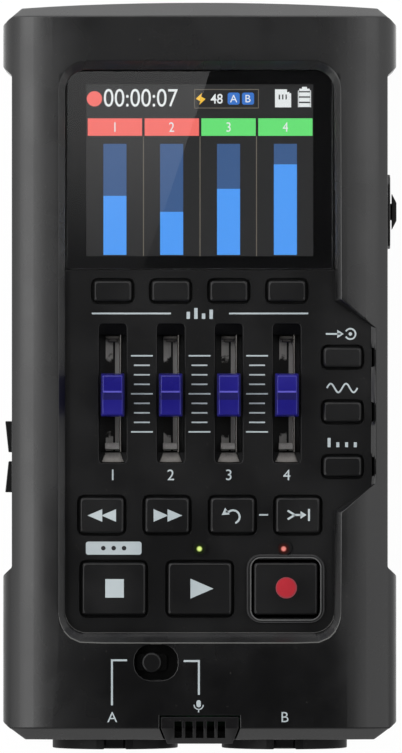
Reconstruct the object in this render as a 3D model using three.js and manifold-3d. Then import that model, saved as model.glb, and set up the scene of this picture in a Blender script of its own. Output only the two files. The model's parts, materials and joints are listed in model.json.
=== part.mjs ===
// A handheld four-track recorder, lying on its back with its controls facing up.
// Millimetres. X is to the right, Y towards the display end, Z out of the front face.
// The origin is under the middle of the whole, at the soles of the feet.
import * as THREE from 'three';
import { mergeVertices } from 'three/addons/utils/BufferGeometryUtils.js';
import Module from 'manifold-3d';

const wasm = await Module();
wasm.setup();

// Clearances
const fitGap = 0.3; // between fixed pieces
const runGap = 0.45; // round a key or slide that moves
const overrun = 1; // how far a cutter passes what it cuts

// Cells and their compartment
const cellCount = 4;
const cellDiameter = 14.2;
const cellLength = 50.5;
const cellStudLength = 1.2;
const cellStudDiameter = 5.2;
const cellPitchGap = 0.45;
const contactThickness = 0.4;
const contactDomeHeight = 1.15;
const contactDomeRadius = 3.2;

// Rear case, cover, feet and screws
const footHeight = 0.8;
const footWidth = 3.6;
const footLength = 8;
const footSunk = 0.3;
const coverThickness = 1.7;
const tongueThickness = 0.7;
const tongueWidth = 1;
const coverGripDepth = 0.5;
const coverGripPitch = 1.6;
const coverGripWidth = 0.8;
const coverGripLength = 16;
const coverGripCount = 5;
const compartmentRoof = 2.1;
const compartmentEndWall = 3.7;
const partition = 2;
const backEdgeRadius = 3;
const screwHeadDiameter = 3.6;
const screwHeadHeight = 1.7;
const screwShankDiameter = 2;
const screwLength = 16;
const screwSlotWidth = 0.6;
const bossWall = 1.5;
const screwEdgeWall = 1.05;
const screwCoverWall = 0.8;

// Boards
const boardThickness = 1.6;
const boardLift = 4.5;
const boardMargin = 3.4;
const postRadius = 2;
const inputBoardThickness = 1.2;
const domeWidth = 3;
const domeHeight = 1;

// Front case and its crown
const sideWall = 2.4;
const endWall = 2.5;
const bumperStep = 1.65;
const crownHeight = 10;
const crownPower = 4;
const lipHeight = 2.9;
const endBevelRun = 2.6;
const endBevelRise = 5;
const endArcDrop = 1.05;
const cornerChamferRun = 3.5;
const cornerChamferRise = 3.1;
const footChamferRun = 4.1;
const footChamferRise = 3.2;
const upperBumperLength = 7.4;
const lowerBumperLength = 26.6;
const flareLength = 2;

// Front panel and its sloped surround
const panelThickness = 1.5;
const panelFlange = 1.6;
const topSlope = 2.1;
const bottomSlope = 1.9;
const sideSlope = 1.4;
const sideSlopeShare = 0.74; // of the lip's height, where the crown meets the side slopes
const slopeShares = [0.34, 0.55, 0.74];
const slopeBend = 2;
const podSlope = 1.1;
const podSlopeRise = 0.7;
const podDentRun = 0.8;
const podDentLength = 3.4;
const panelCorner = 2.6;
const slopeCornerGrowth = 1.6;
const topBand = 10.3;
const bottomBand = 18.2;
const podRim = 1.85;
const podMargin = 1.65;
const podTaper = 4.5;
const podAbove = 4.2;
const podBelow = 8.7;

// Display
const glassLength = 36.6;
const glassThickness = 1.1;
const glassLedge = 0.8;
const screenSideBorder = 3.8;
const screenTopBorder = 2.6;
const screenBottomBorder = 2.5;
const screenMargin = 0.8;
const moduleBorder = 2;

// Keys: cap sizes, travel and the rows that they stand in
const keyTravel = 0.6;
const keyProud = 1.1;
const keyFlange = 0.5;
const keyFlangeThickness = 0.7;
const keyCorner = 0.6;
const keyBevel = 0.3;
const stemWidth = 2;
const softKeyWidth = 6.97;
const softKeyLength = 3.74;
const sideKeyWidth = 6.97;
const sideKeyLength = 3.58;
const sideKeyPitch = 10;
const sideKeyOffset = 10.2;
const rowKeyWidth = 8.07;
const rowKeyLength = 6.42;
const rowKeyPitch = 11.97;
const transportWidth = 11.65;
const transportLength = 9.54;
const transportPitch = 15.75;
const guardGap = 1;
const guardWidth = 0.75;
const guardHeight = 0.7;
const guardCorner = 2;

// Spaces between the rows of the panel
const glassToSoftKey = 2.03;
const softKeyToFader = 4.13;
const faderToRow = 6.33;
const rowToTransport = 5.5;
const transportToEdge = 3.2;

// Faders
const channelCount = 4;
const channelPitch = 10.63;
const channelMargin = 8.65;
const faderTravel = 15;
const slotWidth = 5.1;
const slotEndRoom = 1.28;
const faderFrameHeight = 5;
const faderFrameWall = 0.8;
const faderRampRun = 2;
const faderRampDrop = 0.8;
const railRadius = 0.22;
const railOffset = 1.45;
const capWidth = 4.3;
const capLength = 7.95;
const capHeight = 5.4;
const capFlare = 0.45;
const capRestDrop = 0.3;
const capStep = 0.5;
const capStepRun = 1.3;
const capLine = 0.45;
const leverWidth = 1.2;
const leverLength = 3;

// Indicator lights
const lightRadius = 0.85;
const lightBarWidth = 2;
const lightBarHeight = 1.4;

// Input jacks
const jackPitch = 31.2;
const collarRadius = 11.6;
const collarProud = 1.5;
const jackBodyHalf = 11.7;
const jackBodyDepth = 18.5;
const grooveOuterRadius = 9.65;
const grooveInnerRadius = 7.6;
const grooveDepth = 13;
const jackBoreRadius = 3.3;
const jackBoreWall = 2;
const jackTailDepth = 9;
const pinHoleRadius = 1.3;
const pinCircleRadius = 5.4;
const tabWidth = 3.3;
const tabLength = 9;
const tabHeight = 1.6;
const tabInset = 0.3;
const tabTravel = 0.8;

// Input selector
const selectorTravel = 1.6;
const selectorKnobRadius = 1.85;
const selectorKnobProud = 0.5;
const selectorNeckRadius = 0.9;
const shutterLength = 5.6;
const shutterWidth = 3.2;
const shutterThickness = 0.4;
const selectorRecessLength = 8.06;
const selectorRecessWidth = 6.6;
const selectorRecessDepth = 2;
const selectorFloor = 1;
const selectorBodyWidth = 9;
const selectorBodyLength = 4.4;
const selectorOffset = 8;
const selectorBelowPanel = 3.56;

// Microphone
const grilleWidth = 14.2;
const grilleTaper = 1;
const grilleBarRun = 0.8;
const grilleDepth = 1.5;
const grilleLip = 0.4;
const grilleSlotCount = 5;
const grilleSlotWidth = 1.35;
const grilleSlotPitch = 1.98;
const grilleSlotRun = 3.1;
const grilleFoot = 0.4;
const capsuleRadius = 2.5;
const capsuleHeight = 2.6;

// Power switch, volume buttons, side sockets and card door
const switchPlateLength = 13.6;
const switchPlateHeight = 7;
const switchPlateThickness = 1.3;
const switchPlateProud = 0.5;
const switchKnobLength = 6.6;
const switchKnobHeight = 4.6;
const switchKnobProud = 0.85;
const switchNeckLength = 3;
const switchNeckHeight = 2;
const switchTravel = 5;
const switchBodyWidth = 3.4;
const volumeLength = 5.7;
const volumeHeight = 4;
const volumePitch = 7.35;
const volumeProud = 1.25;
const volumeTaper = 0.6;
const volumeTravel = 0.6;
const volumeFlange = 0.8;
const volumeSwitchWidth = 2.4;
const usbWidth = 8.9;
const usbHeight = 3.2;
const usbDepth = 9;
const usbShell = 0.4;
const usbTongue = 0.7;
const phonesRadius = 2.5;
const phonesBore = 1.75;
const phonesBodyLength = 8.4;
const phonesBodyWidth = 6;
const phonesBodyHeight = 4.8;
const doorLength = 14;
const doorHeight = 4.2;
const doorThickness = 1.2;
const doorPinRadius = 0.6;
const cardWidth = 11.2;
const cardSlotHeight = 1;
const cardSocketHeight = 2.1;
const cardSocketDepth = 14;

// Smoothness of round shapes
const crownSteps = 12;
const archSteps = 6;
const flareSteps = 5;
const cornerSteps = 2;
const wideCornerSteps = 4;
const edgeSteps = 4;
const roundSides = 32;
const cellSides = 20;
const smallSides = 12;

// Heights, from the soles up
const caseBack = footHeight;
const coverTop = caseBack + coverThickness;
const cellFloor = coverTop + fitGap;
const cellTop = cellFloor + fitGap + cellDiameter;
const compartmentTop = cellTop + fitGap;
const rearTop = compartmentTop + compartmentRoof;
const frontBase = rearTop + fitGap;
const batteryStackTop = rearTop + boardLift + boardThickness + faderFrameHeight + 2 * fitGap;
const jackStackTop = cellFloor + 2 * jackBodyHalf + inputBoardThickness + 3 * fitGap;
const panelBottom = Math.max(batteryStackTop, jackStackTop);
const panelTop = panelBottom + panelThickness;
const lipZ = panelTop + fitGap;
const crownZ = lipZ + lipHeight;
const sideTopZ = crownZ - crownHeight;
const shoulderZ = crownZ - endBevelRise;
const faderTop = panelBottom - fitGap;
const faderBase = faderTop - faderFrameHeight;
const boardTop = faderBase - fitGap;
const boardBottom = boardTop - boardThickness;
const inputBoardTop = panelBottom - fitGap;
const inputBoardBottom = inputBoardTop - inputBoardThickness;
const jackZ = inputBoardBottom - fitGap - jackBodyHalf;
const glassBase = panelBottom + glassLedge;
const sideControlZ = boardTop + usbHeight / 2 + fitGap;

// Places across, from the middle out
const outerChannel = (channelCount - 1) / 2 * channelPitch;
const panelHalf = outerChannel + channelMargin;
const screenWidth = 2 * (panelHalf - screenSideBorder);
const sideKeyX = outerChannel + sideKeyOffset;
const podHalf = sideKeyX + sideKeyWidth / 2 + podMargin;
const compartmentHalf = cellLength / 2 + contactDomeHeight + contactThickness + 2 * fitGap;
const grooveHalf = compartmentHalf + tongueWidth;
const screwHoleRadius = screwHeadDiameter / 2 + fitGap;
const batterySide = grooveHalf + screwCoverWall + 2 * screwHoleRadius + screwEdgeWall;
const waistHalf = Math.max(podHalf + podSlope + podRim, batterySide);
const bumperHalf = waistHalf + bumperStep;
const cavityHalf = waistHalf - sideWall;
const screwX = waistHalf - screwEdgeWall - screwHoleRadius;
const boardHalf = cavityHalf - boardMargin - fitGap;

// Places along, from the display end down
const slotLength = faderTravel + capLength + 2 * slotEndRoom;
const panelLength = glassLength + glassToSoftKey + softKeyLength + softKeyToFader + slotLength
  + faderToRow + rowKeyLength + rowToTransport + transportLength + transportToEdge;
const bodyLength = topBand + topSlope + panelLength + bottomSlope + bottomBand;
const topEnd = (bodyLength + collarProud) / 2;
const bottomEnd = topEnd - bodyLength;
const collarFace = bottomEnd - collarProud;
const panelTopY = topEnd - topBand - topSlope;
const glassBottomY = panelTopY - glassLength;
const softKeyY = glassBottomY - glassToSoftKey - softKeyLength / 2;
const slotTopY = softKeyY - softKeyLength / 2 - softKeyToFader;
const slotY = slotTopY - slotLength / 2;
const rowKeyY = slotTopY - slotLength - faderToRow - rowKeyLength / 2;
const transportY = rowKeyY - rowKeyLength / 2 - rowToTransport - transportLength / 2;
const panelBottomY = transportY - transportLength / 2 - transportToEdge;
const lightY = rowKeyY - rowKeyLength / 2 - rowToTransport / 2;
const screenLength = glassLength - screenTopBorder - screenBottomBorder;
const screenY = panelTopY - screenTopBorder - screenLength / 2;
const cavityTop = topEnd - endWall;
const cavityBottom = bottomEnd + endWall;
const compartmentTopY = topEnd - compartmentEndWall;
const compartmentLength = cellCount * (cellDiameter + cellPitchGap) + 2 * fitGap;
const compartmentBottomY = compartmentTopY - compartmentLength;
const coverBottomY = compartmentBottomY - partition;
const jackBack = cavityBottom + fitGap + jackBodyDepth;
const boardTopY = cavityTop - 2 * fitGap;
const boardBottomY = -Math.min(-jackBack - 2 * fitGap, -transportY + domeWidth + 2 * fitGap);
const inputBoardEnd = panelBottomY;
const selectorY = panelBottomY - bottomSlope - selectorBelowPanel;
const powerY = screenY - screenLength / 4 + fitGap;
const volumeY = slotY - capLength - volumePitch / 2;
const socketY = rowKeyY - rowKeyLength / 2;
const doorY = powerY - switchPlateLength / 2 - doorLength / 2 - 2 * partition;
const upperScrewY = compartmentTopY - cellDiameter;
const lowerScrewY = transportY + keyTravel;
const footX = screwX - fitGap;
const upperFootY = compartmentTopY - footLength / 2;
const lowerFootY = cavityBottom + footLength / 2 + fitGap;
const jackXs = [-jackPitch / 2, jackPitch / 2];

// Colours and finishes
const finishes = {
  case: { color: 0x2b2b2e, roughness: 0.62, metalness: 0 },
  panel: { color: 0x0f0f12, roughness: 0.5, metalness: 0 },
  key: { color: 0x18181b, roughness: 0.6, metalness: 0 },
  blue: { color: 0x241c8c, roughness: 0.45, metalness: 0 },
  glass: { color: 0x0a0b0f, roughness: 0.08, metalness: 0 },
  board: { color: 0x12402a, roughness: 0.55, metalness: 0 },
  steel: { color: 0x9a9ca2, roughness: 0.35, metalness: 1 },
  nylon: { color: 0x101012, roughness: 0.5, metalness: 0 },
  rubber: { color: 0x0c0c0d, roughness: 0.9, metalness: 0 },
  cell: { color: 0x3c4650, roughness: 0.4, metalness: 0.3 },
  light: { color: 0xd8e8d0, roughness: 0.25, metalness: 0 },
  brass: { color: 0xb59a55, roughness: 0.35, metalness: 1 },
};

// Turns a closed geometry into a solid that can be cut and joined.
function solid(geometry) {
  const bare = new THREE.BufferGeometry().setAttribute('position', geometry.getAttribute('position'));
  bare.setIndex(geometry.index);
  const merged = mergeVertices(bare);
  return new wasm.Manifold(new wasm.Mesh({
    numProp: 3,
    vertProperties: Float32Array.from(merged.attributes.position.array),
    triVerts: Uint32Array.from(merged.index.array),
  }));
}

// Adds a node of one finish to the assembly.
const recorder = new THREE.Group();
function place(name, shape, finish) {
  const mesh = shape.getMesh();
  const geometry = new THREE.BufferGeometry();
  geometry.setAttribute('position', new THREE.BufferAttribute(Float32Array.from(mesh.vertProperties), 3));
  geometry.setIndex(new THREE.BufferAttribute(Uint32Array.from(mesh.triVerts), 1));
  geometry.computeVertexNormals();
  const node = new THREE.Mesh(geometry, new THREE.MeshStandardMaterial(finishes[finish]));
  node.name = name;
  recorder.add(node);
}

// A block between two corners.
function block(x0, x1, y0, y1, z0, z1) {
  const geometry = new THREE.BoxGeometry(x1 - x0, y1 - y0, z1 - z0);
  geometry.translate((x0 + x1) / 2, (y0 + y1) / 2, (z0 + z1) / 2);
  return solid(geometry);
}

// An outline pushed straight along X, Y or Z. Its points are (y, z), (x, z) or (x, y).
const pushFrames = {
  x: [[0, 1, 0], [0, 0, 1], [1, 0, 0]],
  y: [[1, 0, 0], [0, 0, 1], [0, -1, 0]],
  z: [[1, 0, 0], [0, 1, 0], [0, 0, 1]],
};
function push(axis, outline, from, to, holes = []) {
  const shape = new THREE.Shape(outline);
  shape.holes = holes.map((hole) => new THREE.Path(hole));
  const geometry = new THREE.ExtrudeGeometry(shape, { depth: to - from, bevelEnabled: false });
  const [across, up, along] = pushFrames[axis].map((v) => new THREE.Vector3(...v));
  const start = axis === 'y' ? -to : from;
  geometry.applyMatrix4(new THREE.Matrix4().makeBasis(across, up, along));
  geometry.translate(...along.clone().multiplyScalar(start).toArray());
  return solid(geometry);
}

// A round bar along X, Y or Z through the point (u, v) of the other two axes.
function bar(axis, radius, u, v, from, to, sides = smallSides) {
  return push(axis, circle(radius, u, v, sides), from, to);
}

function circle(radius, u, v, sides) {
  return Array.from({ length: sides }, (_, i) => {
    const turn = (i + 1 / 2) / sides * 2 * Math.PI;
    return new THREE.Vector2(u + radius * Math.cos(turn), v + radius * Math.sin(turn));
  });
}

// A rectangle with round corners, about a centre.
function rounded(width, length, radius, u = 0, v = 0, steps = cornerSteps) {
  const corners = [[1, 1, 0], [-1, 1, 1], [-1, -1, 2], [1, -1, 3]];
  return corners.flatMap(([across, along, quarter]) => (
    Array.from({ length: steps + 1 }, (_, i) => {
      const turn = (quarter + i / steps) * Math.PI / 2;
      return new THREE.Vector2(
        u + across * (width / 2 - radius) + radius * Math.cos(turn),
        v + along * (length / 2 - radius) + radius * Math.sin(turn),
      );
    })
  ));
}

// A skin through rings of equal count, stacked upwards, closed at both ends.
function loft(levels) {
  const count = levels[0].outline.length;
  const positions = levels.flatMap(({ outline, z }) => outline.flatMap((p) => [p.x, p.y, z]));
  const faces = [];
  for (let level = 0; level + 1 < levels.length; level += 1) {
    for (let i = 0; i < count; i += 1) {
      const a = level * count + i;
      const b = level * count + (i + 1) % count;
      faces.push(a, b, b + count, a, b + count, a + count);
    }
  }
  const top = (levels.length - 1) * count;
  for (const [a, b, c] of THREE.ShapeUtils.triangulateShape(levels[0].outline, [])) {
    faces.push(c, b, a);
  }
  for (const [a, b, c] of THREE.ShapeUtils.triangulateShape(levels[levels.length - 1].outline, [])) {
    faces.push(top + a, top + b, top + c);
  }
  const geometry = new THREE.BufferGeometry();
  geometry.setAttribute('position', new THREE.BufferAttribute(new Float32Array(positions), 3));
  geometry.setIndex(faces);
  return solid(geometry);
}

function join(shapes) {
  return shapes.reduce((whole, shape) => whole.add(shape));
}

function cut(shape, cutters) {
  return cutters.reduce((rest, cutter) => rest.subtract(cutter), shape);
}

// The right half of an outline with its mirror image, meeting at an optional middle point.
function mirrored(right, middle = []) {
  const left = right.map((p) => new THREE.Vector2(-p.x, p.y)).reverse();
  return [...right, ...middle, ...left];
}

// The case's outline from the front: arched ends, cut corners, bumpers and a drawn-in waist.
function caseOutline() {
  const archHalf = bumperHalf - cornerChamferRun;
  const right = [];
  const footHalf = bumperHalf - footChamferRun;
  right.push(new THREE.Vector2(footHalf, bottomEnd + endArcDrop / 3));
  right.push(new THREE.Vector2(bumperHalf, bottomEnd + endArcDrop / 3 + footChamferRise));
  flare(right, bottomEnd + endArcDrop / 3 + footChamferRise + lowerBumperLength, bumperHalf, waistHalf);
  const upperBumperBase = topEnd - endArcDrop - cornerChamferRise - upperBumperLength;
  flare(right, upperBumperBase - flareLength, waistHalf, bumperHalf);
  right.push(new THREE.Vector2(bumperHalf, topEnd - endArcDrop - cornerChamferRise));
  for (let i = archSteps; i > 0; i -= 1) {
    const share = i / archSteps;
    right.push(new THREE.Vector2(archHalf * share, topEnd - endArcDrop * share ** 2));
  }
  return mirrored(right, [new THREE.Vector2(0, topEnd)]);
}

// An S-shaped step from one half width to another, going up from a height.
function flare(points, from, startHalf, endHalf) {
  for (let i = 0; i <= flareSteps; i += 1) {
    const share = i / flareSteps;
    const blend = (1 - Math.cos(Math.PI * share)) / 2;
    points.push(new THREE.Vector2(startHalf + (endHalf - startHalf) * blend, from + flareLength * share));
  }
}

// The crowned cross-section of the front case, a flattened oval on straight sides.
function crownSection() {
  const right = [new THREE.Vector2(bumperHalf, frontBase)];
  for (let i = 0; i < crownSteps; i += 1) {
    const share = i / crownSteps;
    const turn = share * share * (3 - 2 * share) * Math.PI / 2;
    right.push(new THREE.Vector2(
      bumperHalf * Math.cos(turn) ** (2 / crownPower),
      sideTopZ + crownHeight * Math.sin(turn) ** (2 / crownPower),
    ));
  }
  return mirrored(right, [new THREE.Vector2(0, crownZ)]);
}

// The long section of the front case, with a bevel at each end.
function bevelSection() {
  const above = crownZ + overrun;
  const run = endBevelRun * (above - shoulderZ) / endBevelRise;
  return [
    new THREE.Vector2(bottomEnd - overrun, frontBase - overrun),
    new THREE.Vector2(topEnd + overrun, frontBase - overrun),
    new THREE.Vector2(topEnd + overrun, shoulderZ),
    new THREE.Vector2(topEnd, shoulderZ),
    new THREE.Vector2(topEnd - run, above),
    new THREE.Vector2(bottomEnd + run, above),
    new THREE.Vector2(bottomEnd, shoulderZ),
    new THREE.Vector2(bottomEnd - overrun, shoulderZ),
  ];
}

// The panel's outline, with a pod at the right for the side keys. grow widens it all round.
function panelOutline(top, bottom, side, pod, podGrow, corner) {
  const podTop = slotTopY + podAbove + podGrow;
  const podBottom = slotTopY - slotLength - podBelow - podGrow;
  const arc = (x, y, quarter) => Array.from({ length: wideCornerSteps + 1 }, (_, i) => {
    const turn = (quarter + i / wideCornerSteps) * Math.PI / 2;
    return new THREE.Vector2(x + corner * Math.cos(turn), y + corner * Math.sin(turn));
  });
  const rise = podTaper * (pod - side) / (podHalf - panelHalf);
  return [
    ...arc(side - corner, top - corner, 0),
    ...arc(corner - side, top - corner, 1),
    ...arc(corner - side, bottom + corner, 2),
    ...arc(side - corner, bottom + corner, 3),
    new THREE.Vector2(side, podBottom),
    new THREE.Vector2(pod, podBottom + rise),
    new THREE.Vector2(pod, podTop - rise),
    new THREE.Vector2(side, podTop),
  ];
}

// The sloped opening, wider at the crown than at the panel. Its walls bend outward as they rise.
function panelOpening() {
  const outlineAt = (share) => {
    const run = share ** slopeBend;
    const sideRun = (share / sideSlopeShare) ** slopeBend;
    return panelOutline(
      panelTopY + topSlope * run,
      panelBottomY - bottomSlope * run,
      panelHalf + sideSlope * sideRun,
      podHalf + podSlope * share * lipHeight / podSlopeRise,
      sideSlope * run / 2,
      panelCorner + slopeCornerGrowth * run,
    );
  };
  const above = (crownZ + overrun - lipZ) / lipHeight;
  const levels = [0, ...slopeShares, above].map((share) => ({
    outline: outlineAt(share),
    z: lipZ + lipHeight * share,
  }));
  return loft([{ outline: outlineAt(0), z: lipZ - overrun }, ...levels]);
}

// The outline of the panel plate, which reaches under the case's lip.
function plateOutline(grow) {
  return panelOutline(
    panelTopY + panelFlange + grow,
    panelBottomY - panelFlange - grow,
    panelHalf + panelFlange + grow,
    podHalf + fitGap + grow,
    grow,
    panelCorner,
  );
}

// Knobs, grilles and sockets cut these openings in the front case
function powerCutters() {
  const halfLength = switchPlateLength / 2 + fitGap;
  const halfHeight = switchPlateHeight / 2 + fitGap;
  const seat = waistHalf + switchPlateProud - switchPlateThickness - fitGap;
  const throughHalf = (switchTravel + switchNeckLength) / 2 + fitGap;
  const throughHeight = switchNeckHeight / 2 + fitGap;
  return [
    block(seat, bumperHalf + overrun, powerY - halfLength, powerY + halfLength,
      sideControlZ - halfHeight, sideControlZ + halfHeight),
    block(cavityHalf - overrun, bumperHalf, powerY - throughHalf, powerY + throughHalf,
      sideControlZ - throughHeight, sideControlZ + throughHeight),
  ];
}

function volumeCutters() {
  return [-1, 1].map((side) => {
    const y = volumeY + side * volumePitch / 2;
    const halfLength = volumeLength / 2 + fitGap;
    const halfHeight = volumeHeight / 2 + fitGap;
    return block(-bumperHalf - overrun, -cavityHalf + overrun, y - halfLength, y + halfLength,
      sideControlZ - halfHeight, sideControlZ + halfHeight);
  });
}

function socketCutters() {
  const usbOutline = rounded(usbWidth + 2 * fitGap, usbHeight + 2 * fitGap, usbHeight / 2,
    socketY, boardTop + fitGap + usbHeight / 2);
  return [
    push('x', usbOutline, cavityHalf - overrun, bumperHalf + overrun),
    bar('x', phonesRadius + fitGap, socketY, boardTop + fitGap + phonesBodyHeight / 2,
      -bumperHalf - overrun, -cavityHalf + overrun, cellSides),
  ];
}

const doorZ = boardBottom - cardSocketHeight / 2;
const doorAxisX = waistHalf - doorPinRadius;
const doorAxisY = doorY - doorLength / 2 + doorPinRadius;
function doorCutters() {
  const seat = waistHalf - doorThickness - fitGap;
  const halfLength = doorLength / 2 + fitGap;
  const halfHeight = doorHeight / 2 + fitGap;
  const slotHalf = cardWidth / 2 + fitGap;
  const slotHeight = cardSlotHeight / 2 + fitGap;
  return [
    block(seat, bumperHalf + overrun, doorY - halfLength, doorY + halfLength, doorZ - halfHeight,
      doorZ + halfHeight),
    block(cavityHalf - overrun, bumperHalf, doorY - slotHalf, doorY + slotHalf, doorZ - slotHeight,
      doorZ + slotHeight),
  ];
}

function selectorCutters() {
  const floor = crownZ - selectorRecessDepth;
  const recess = rounded(selectorRecessLength, selectorRecessWidth, selectorRecessWidth / 2 - fitGap,
    -selectorOffset, selectorY, wideCornerSteps);
  const slotHalf = selectorTravel / 2 + selectorNeckRadius + fitGap;
  const neckHalf = selectorNeckRadius + fitGap;
  const wellHalf = selectorBodyWidth / 2 + fitGap;
  const wellHeight = selectorBodyLength / 2 + fitGap;
  return [
    push('z', recess, floor, crownZ + overrun),
    block(-selectorOffset - slotHalf, -selectorOffset + slotHalf, selectorY - neckHalf,
      selectorY + neckHalf, panelBottom, floor + overrun),
    block(-selectorOffset - wellHalf, -selectorOffset + wellHalf, selectorY - wellHeight,
      selectorY + wellHeight, panelBottom - overrun, floor - selectorFloor),
  ];
}

const grilleTopY = bottomEnd + endBevelRun + grilleBarRun + grilleSlotRun / 2 - fitGap;
const grilleBase = shoulderZ - grilleFoot;
const capsuleY = grilleTopY + capsuleRadius + fitGap;
// The grille's outline from the front: straight on the face, drawn in down the bevel.
function grilleOutline(grow) {
  const bevelY = bottomEnd + endBevelRun;
  const half = grilleWidth / 2 + grow;
  const share = (endBevelRun + overrun) / endBevelRun;
  return mirrored([
    new THREE.Vector2(half - grilleTaper * share, bottomEnd - overrun),
    new THREE.Vector2(half, bevelY),
    new THREE.Vector2(half, grilleTopY + grow),
  ]);
}

function grilleCutters() {
  const wellHalf = capsuleRadius + fitGap;
  return [
    push('z', grilleOutline(fitGap), grilleBase - fitGap, crownZ + overrun),
    block(-wellHalf, wellHalf, grilleTopY, capsuleY + wellHalf, panelBottom - overrun,
      panelBottom + capsuleHeight + fitGap),
  ];
}

// Finger dents in the slope beside the three side keys
function dentCutters() {
  return sideKeyYs.map((y) => push('z', rounded(2 * podDentRun, podDentLength, podDentRun / 2, podHalf, y),
    lipZ, crownZ + overrun));
}

function collarCutters() {
  return jackXs.map((x) => (
    bar('y', collarRadius + fitGap, x, jackZ, bottomEnd - overrun, cavityBottom + overrun, roundSides)
  ));
}

// Upper case shell, moulded, with bosses for the four screws
function frontCase() {
  const outer = push('y', crownSection(), bottomEnd - overrun, topEnd + overrun)
    .intersect(push('z', caseOutline(), frontBase - overrun, crownZ + overrun))
    .intersect(push('x', bevelSection(), -bumperHalf - overrun, bumperHalf + overrun));
  const cavity = block(-cavityHalf, cavityHalf, cavityBottom, cavityTop, frontBase - overrun, panelBottom);
  const bosses = screwPlaces.map(([x, y]) => bar('z', screwHoleRadius + bossWall / 2, x, y, frontBase,
    panelBottom + overrun));
  const pilots = screwPlaces.map(([x, y]) => bar('z', screwShankDiameter / 2 + fitGap, x, y,
    frontBase - overrun, screwTip + fitGap));
  const hollow = cut(outer, [cavity]);
  const inside = join(bosses).intersect(outer);
  return cut(hollow.add(inside), [
    ...pilots,
    push('z', plateOutline(fitGap), panelBottom - overrun, lipZ),
    panelOpening(),
    ...dentCutters(),
    ...powerCutters(),
    ...volumeCutters(),
    ...socketCutters(),
    ...doorCutters(),
    ...selectorCutters(),
    ...grilleCutters(),
    ...collarCutters(),
  ]);
}

const screwPlaces = [[-screwX, upperScrewY], [screwX, upperScrewY], [-screwX, lowerScrewY],
  [screwX, lowerScrewY]];
const screwSeat = rearTop - screwLength / 2;
const screwTip = screwSeat - fitGap + screwLength;

// A section of the lower case: straight sides on a back with rounded edges.
function roundedBack(half) {
  const right = Array.from({ length: edgeSteps + 1 }, (_, i) => {
    const turn = i / edgeSteps * Math.PI / 2;
    return new THREE.Vector2(
      half - backEdgeRadius * (1 - Math.sin(turn)),
      caseBack + backEdgeRadius * (1 - Math.cos(turn)),
    );
  });
  return mirrored([...right, new THREE.Vector2(half, rearTop + overrun)]);
}

// Lower case shell, with the cell compartment, cover runway and seats for the boards and jacks
function rearCase() {
  const middle = (topEnd + bottomEnd) / 2;
  const along = roundedBack(bodyLength / 2).map((p) => new THREE.Vector2(p.x + middle, p.y));
  const outer = push('z', caseOutline(), caseBack - overrun, rearTop)
    .intersect(push('y', roundedBack(bumperHalf), bottomEnd - overrun, topEnd + overrun))
    .intersect(push('x', along, -bumperHalf - overrun, bumperHalf + overrun));
  const wellTopY = coverBottomY - partition / 2;
  const well = block(-cavityHalf, cavityHalf, cavityBottom, wellTopY, cellFloor, rearTop + overrun);
  const compartment = block(-compartmentHalf, compartmentHalf, compartmentBottomY, compartmentTopY,
    coverTop - overrun, compartmentTop);
  const runway = block(-compartmentHalf, compartmentHalf, coverBottomY, topEnd + overrun,
    caseBack - overrun, cellFloor);
  const groove = block(-grooveHalf, grooveHalf, coverBottomY, topEnd + overrun,
    tongueBase - fitGap, tongueBase + tongueThickness + fitGap);
  const posts = postPlaces.map(([x, y]) => bar('z', postRadius, x, y, cellFloor - fitGap,
    boardBottom - fitGap));
  const upperPosts = upperPostPlaces.map(([x, y]) => bar('z', postRadius, x, y,
    rearTop - compartmentRoof / 2, boardBottom - fitGap));
  const cradles = jackXs.map((x) => block(x - jackBodyHalf / 2, x + jackBodyHalf / 2,
    jackBack - jackBodyDepth / 2, jackBack - jackBodyDepth / 4, coverTop, jackZ - jackBodyHalf - fitGap));
  const bosses = screwPlaces.map(([x, y]) => bar('z', screwHoleRadius + bossWall / 2, x, y,
    caseBack + backEdgeRadius / 2, rearTop));
  const heads = screwPlaces.map(([x, y]) => bar('z', screwHoleRadius, x, y, caseBack - overrun, screwSeat));
  const shanks = screwPlaces.map(([x, y]) => bar('z', screwShankDiameter / 2 + fitGap, x, y,
    screwSeat - overrun, rearTop + overrun));
  const feet = footPlaces.map(([x, y]) => push('z',
    rounded(footWidth + 2 * fitGap, footLength + 2 * fitGap, footWidth / 4, x, y),
    caseBack - overrun, caseBack + footSunk + fitGap));
  const shell = cut(outer, [well]);
  const inner = join([...bosses, ...cradles, ...posts]).intersect(outer);
  return cut(join([shell, inner, ...upperPosts]), [
    compartment,
    runway,
    groove,
    ...heads,
    ...shanks,
    ...feet,
    ...collarCutters(),
  ]);
}

const tongueBase = caseBack + (coverThickness - tongueThickness) / 2;
const postX = boardHalf - postRadius;
const postPlaces = [[-postX, lowerScrewY], [postX, lowerScrewY]];
const upperPostPlaces = [[-postX, compartmentTopY - postRadius], [postX, compartmentTopY - postRadius],
  [-postX / 2, compartmentBottomY + postRadius], [postX / 2, compartmentBottomY + postRadius]];
const footPlaces = [[-footX, upperFootY], [footX, upperFootY], [-footX, lowerFootY], [footX, lowerFootY]];

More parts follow.
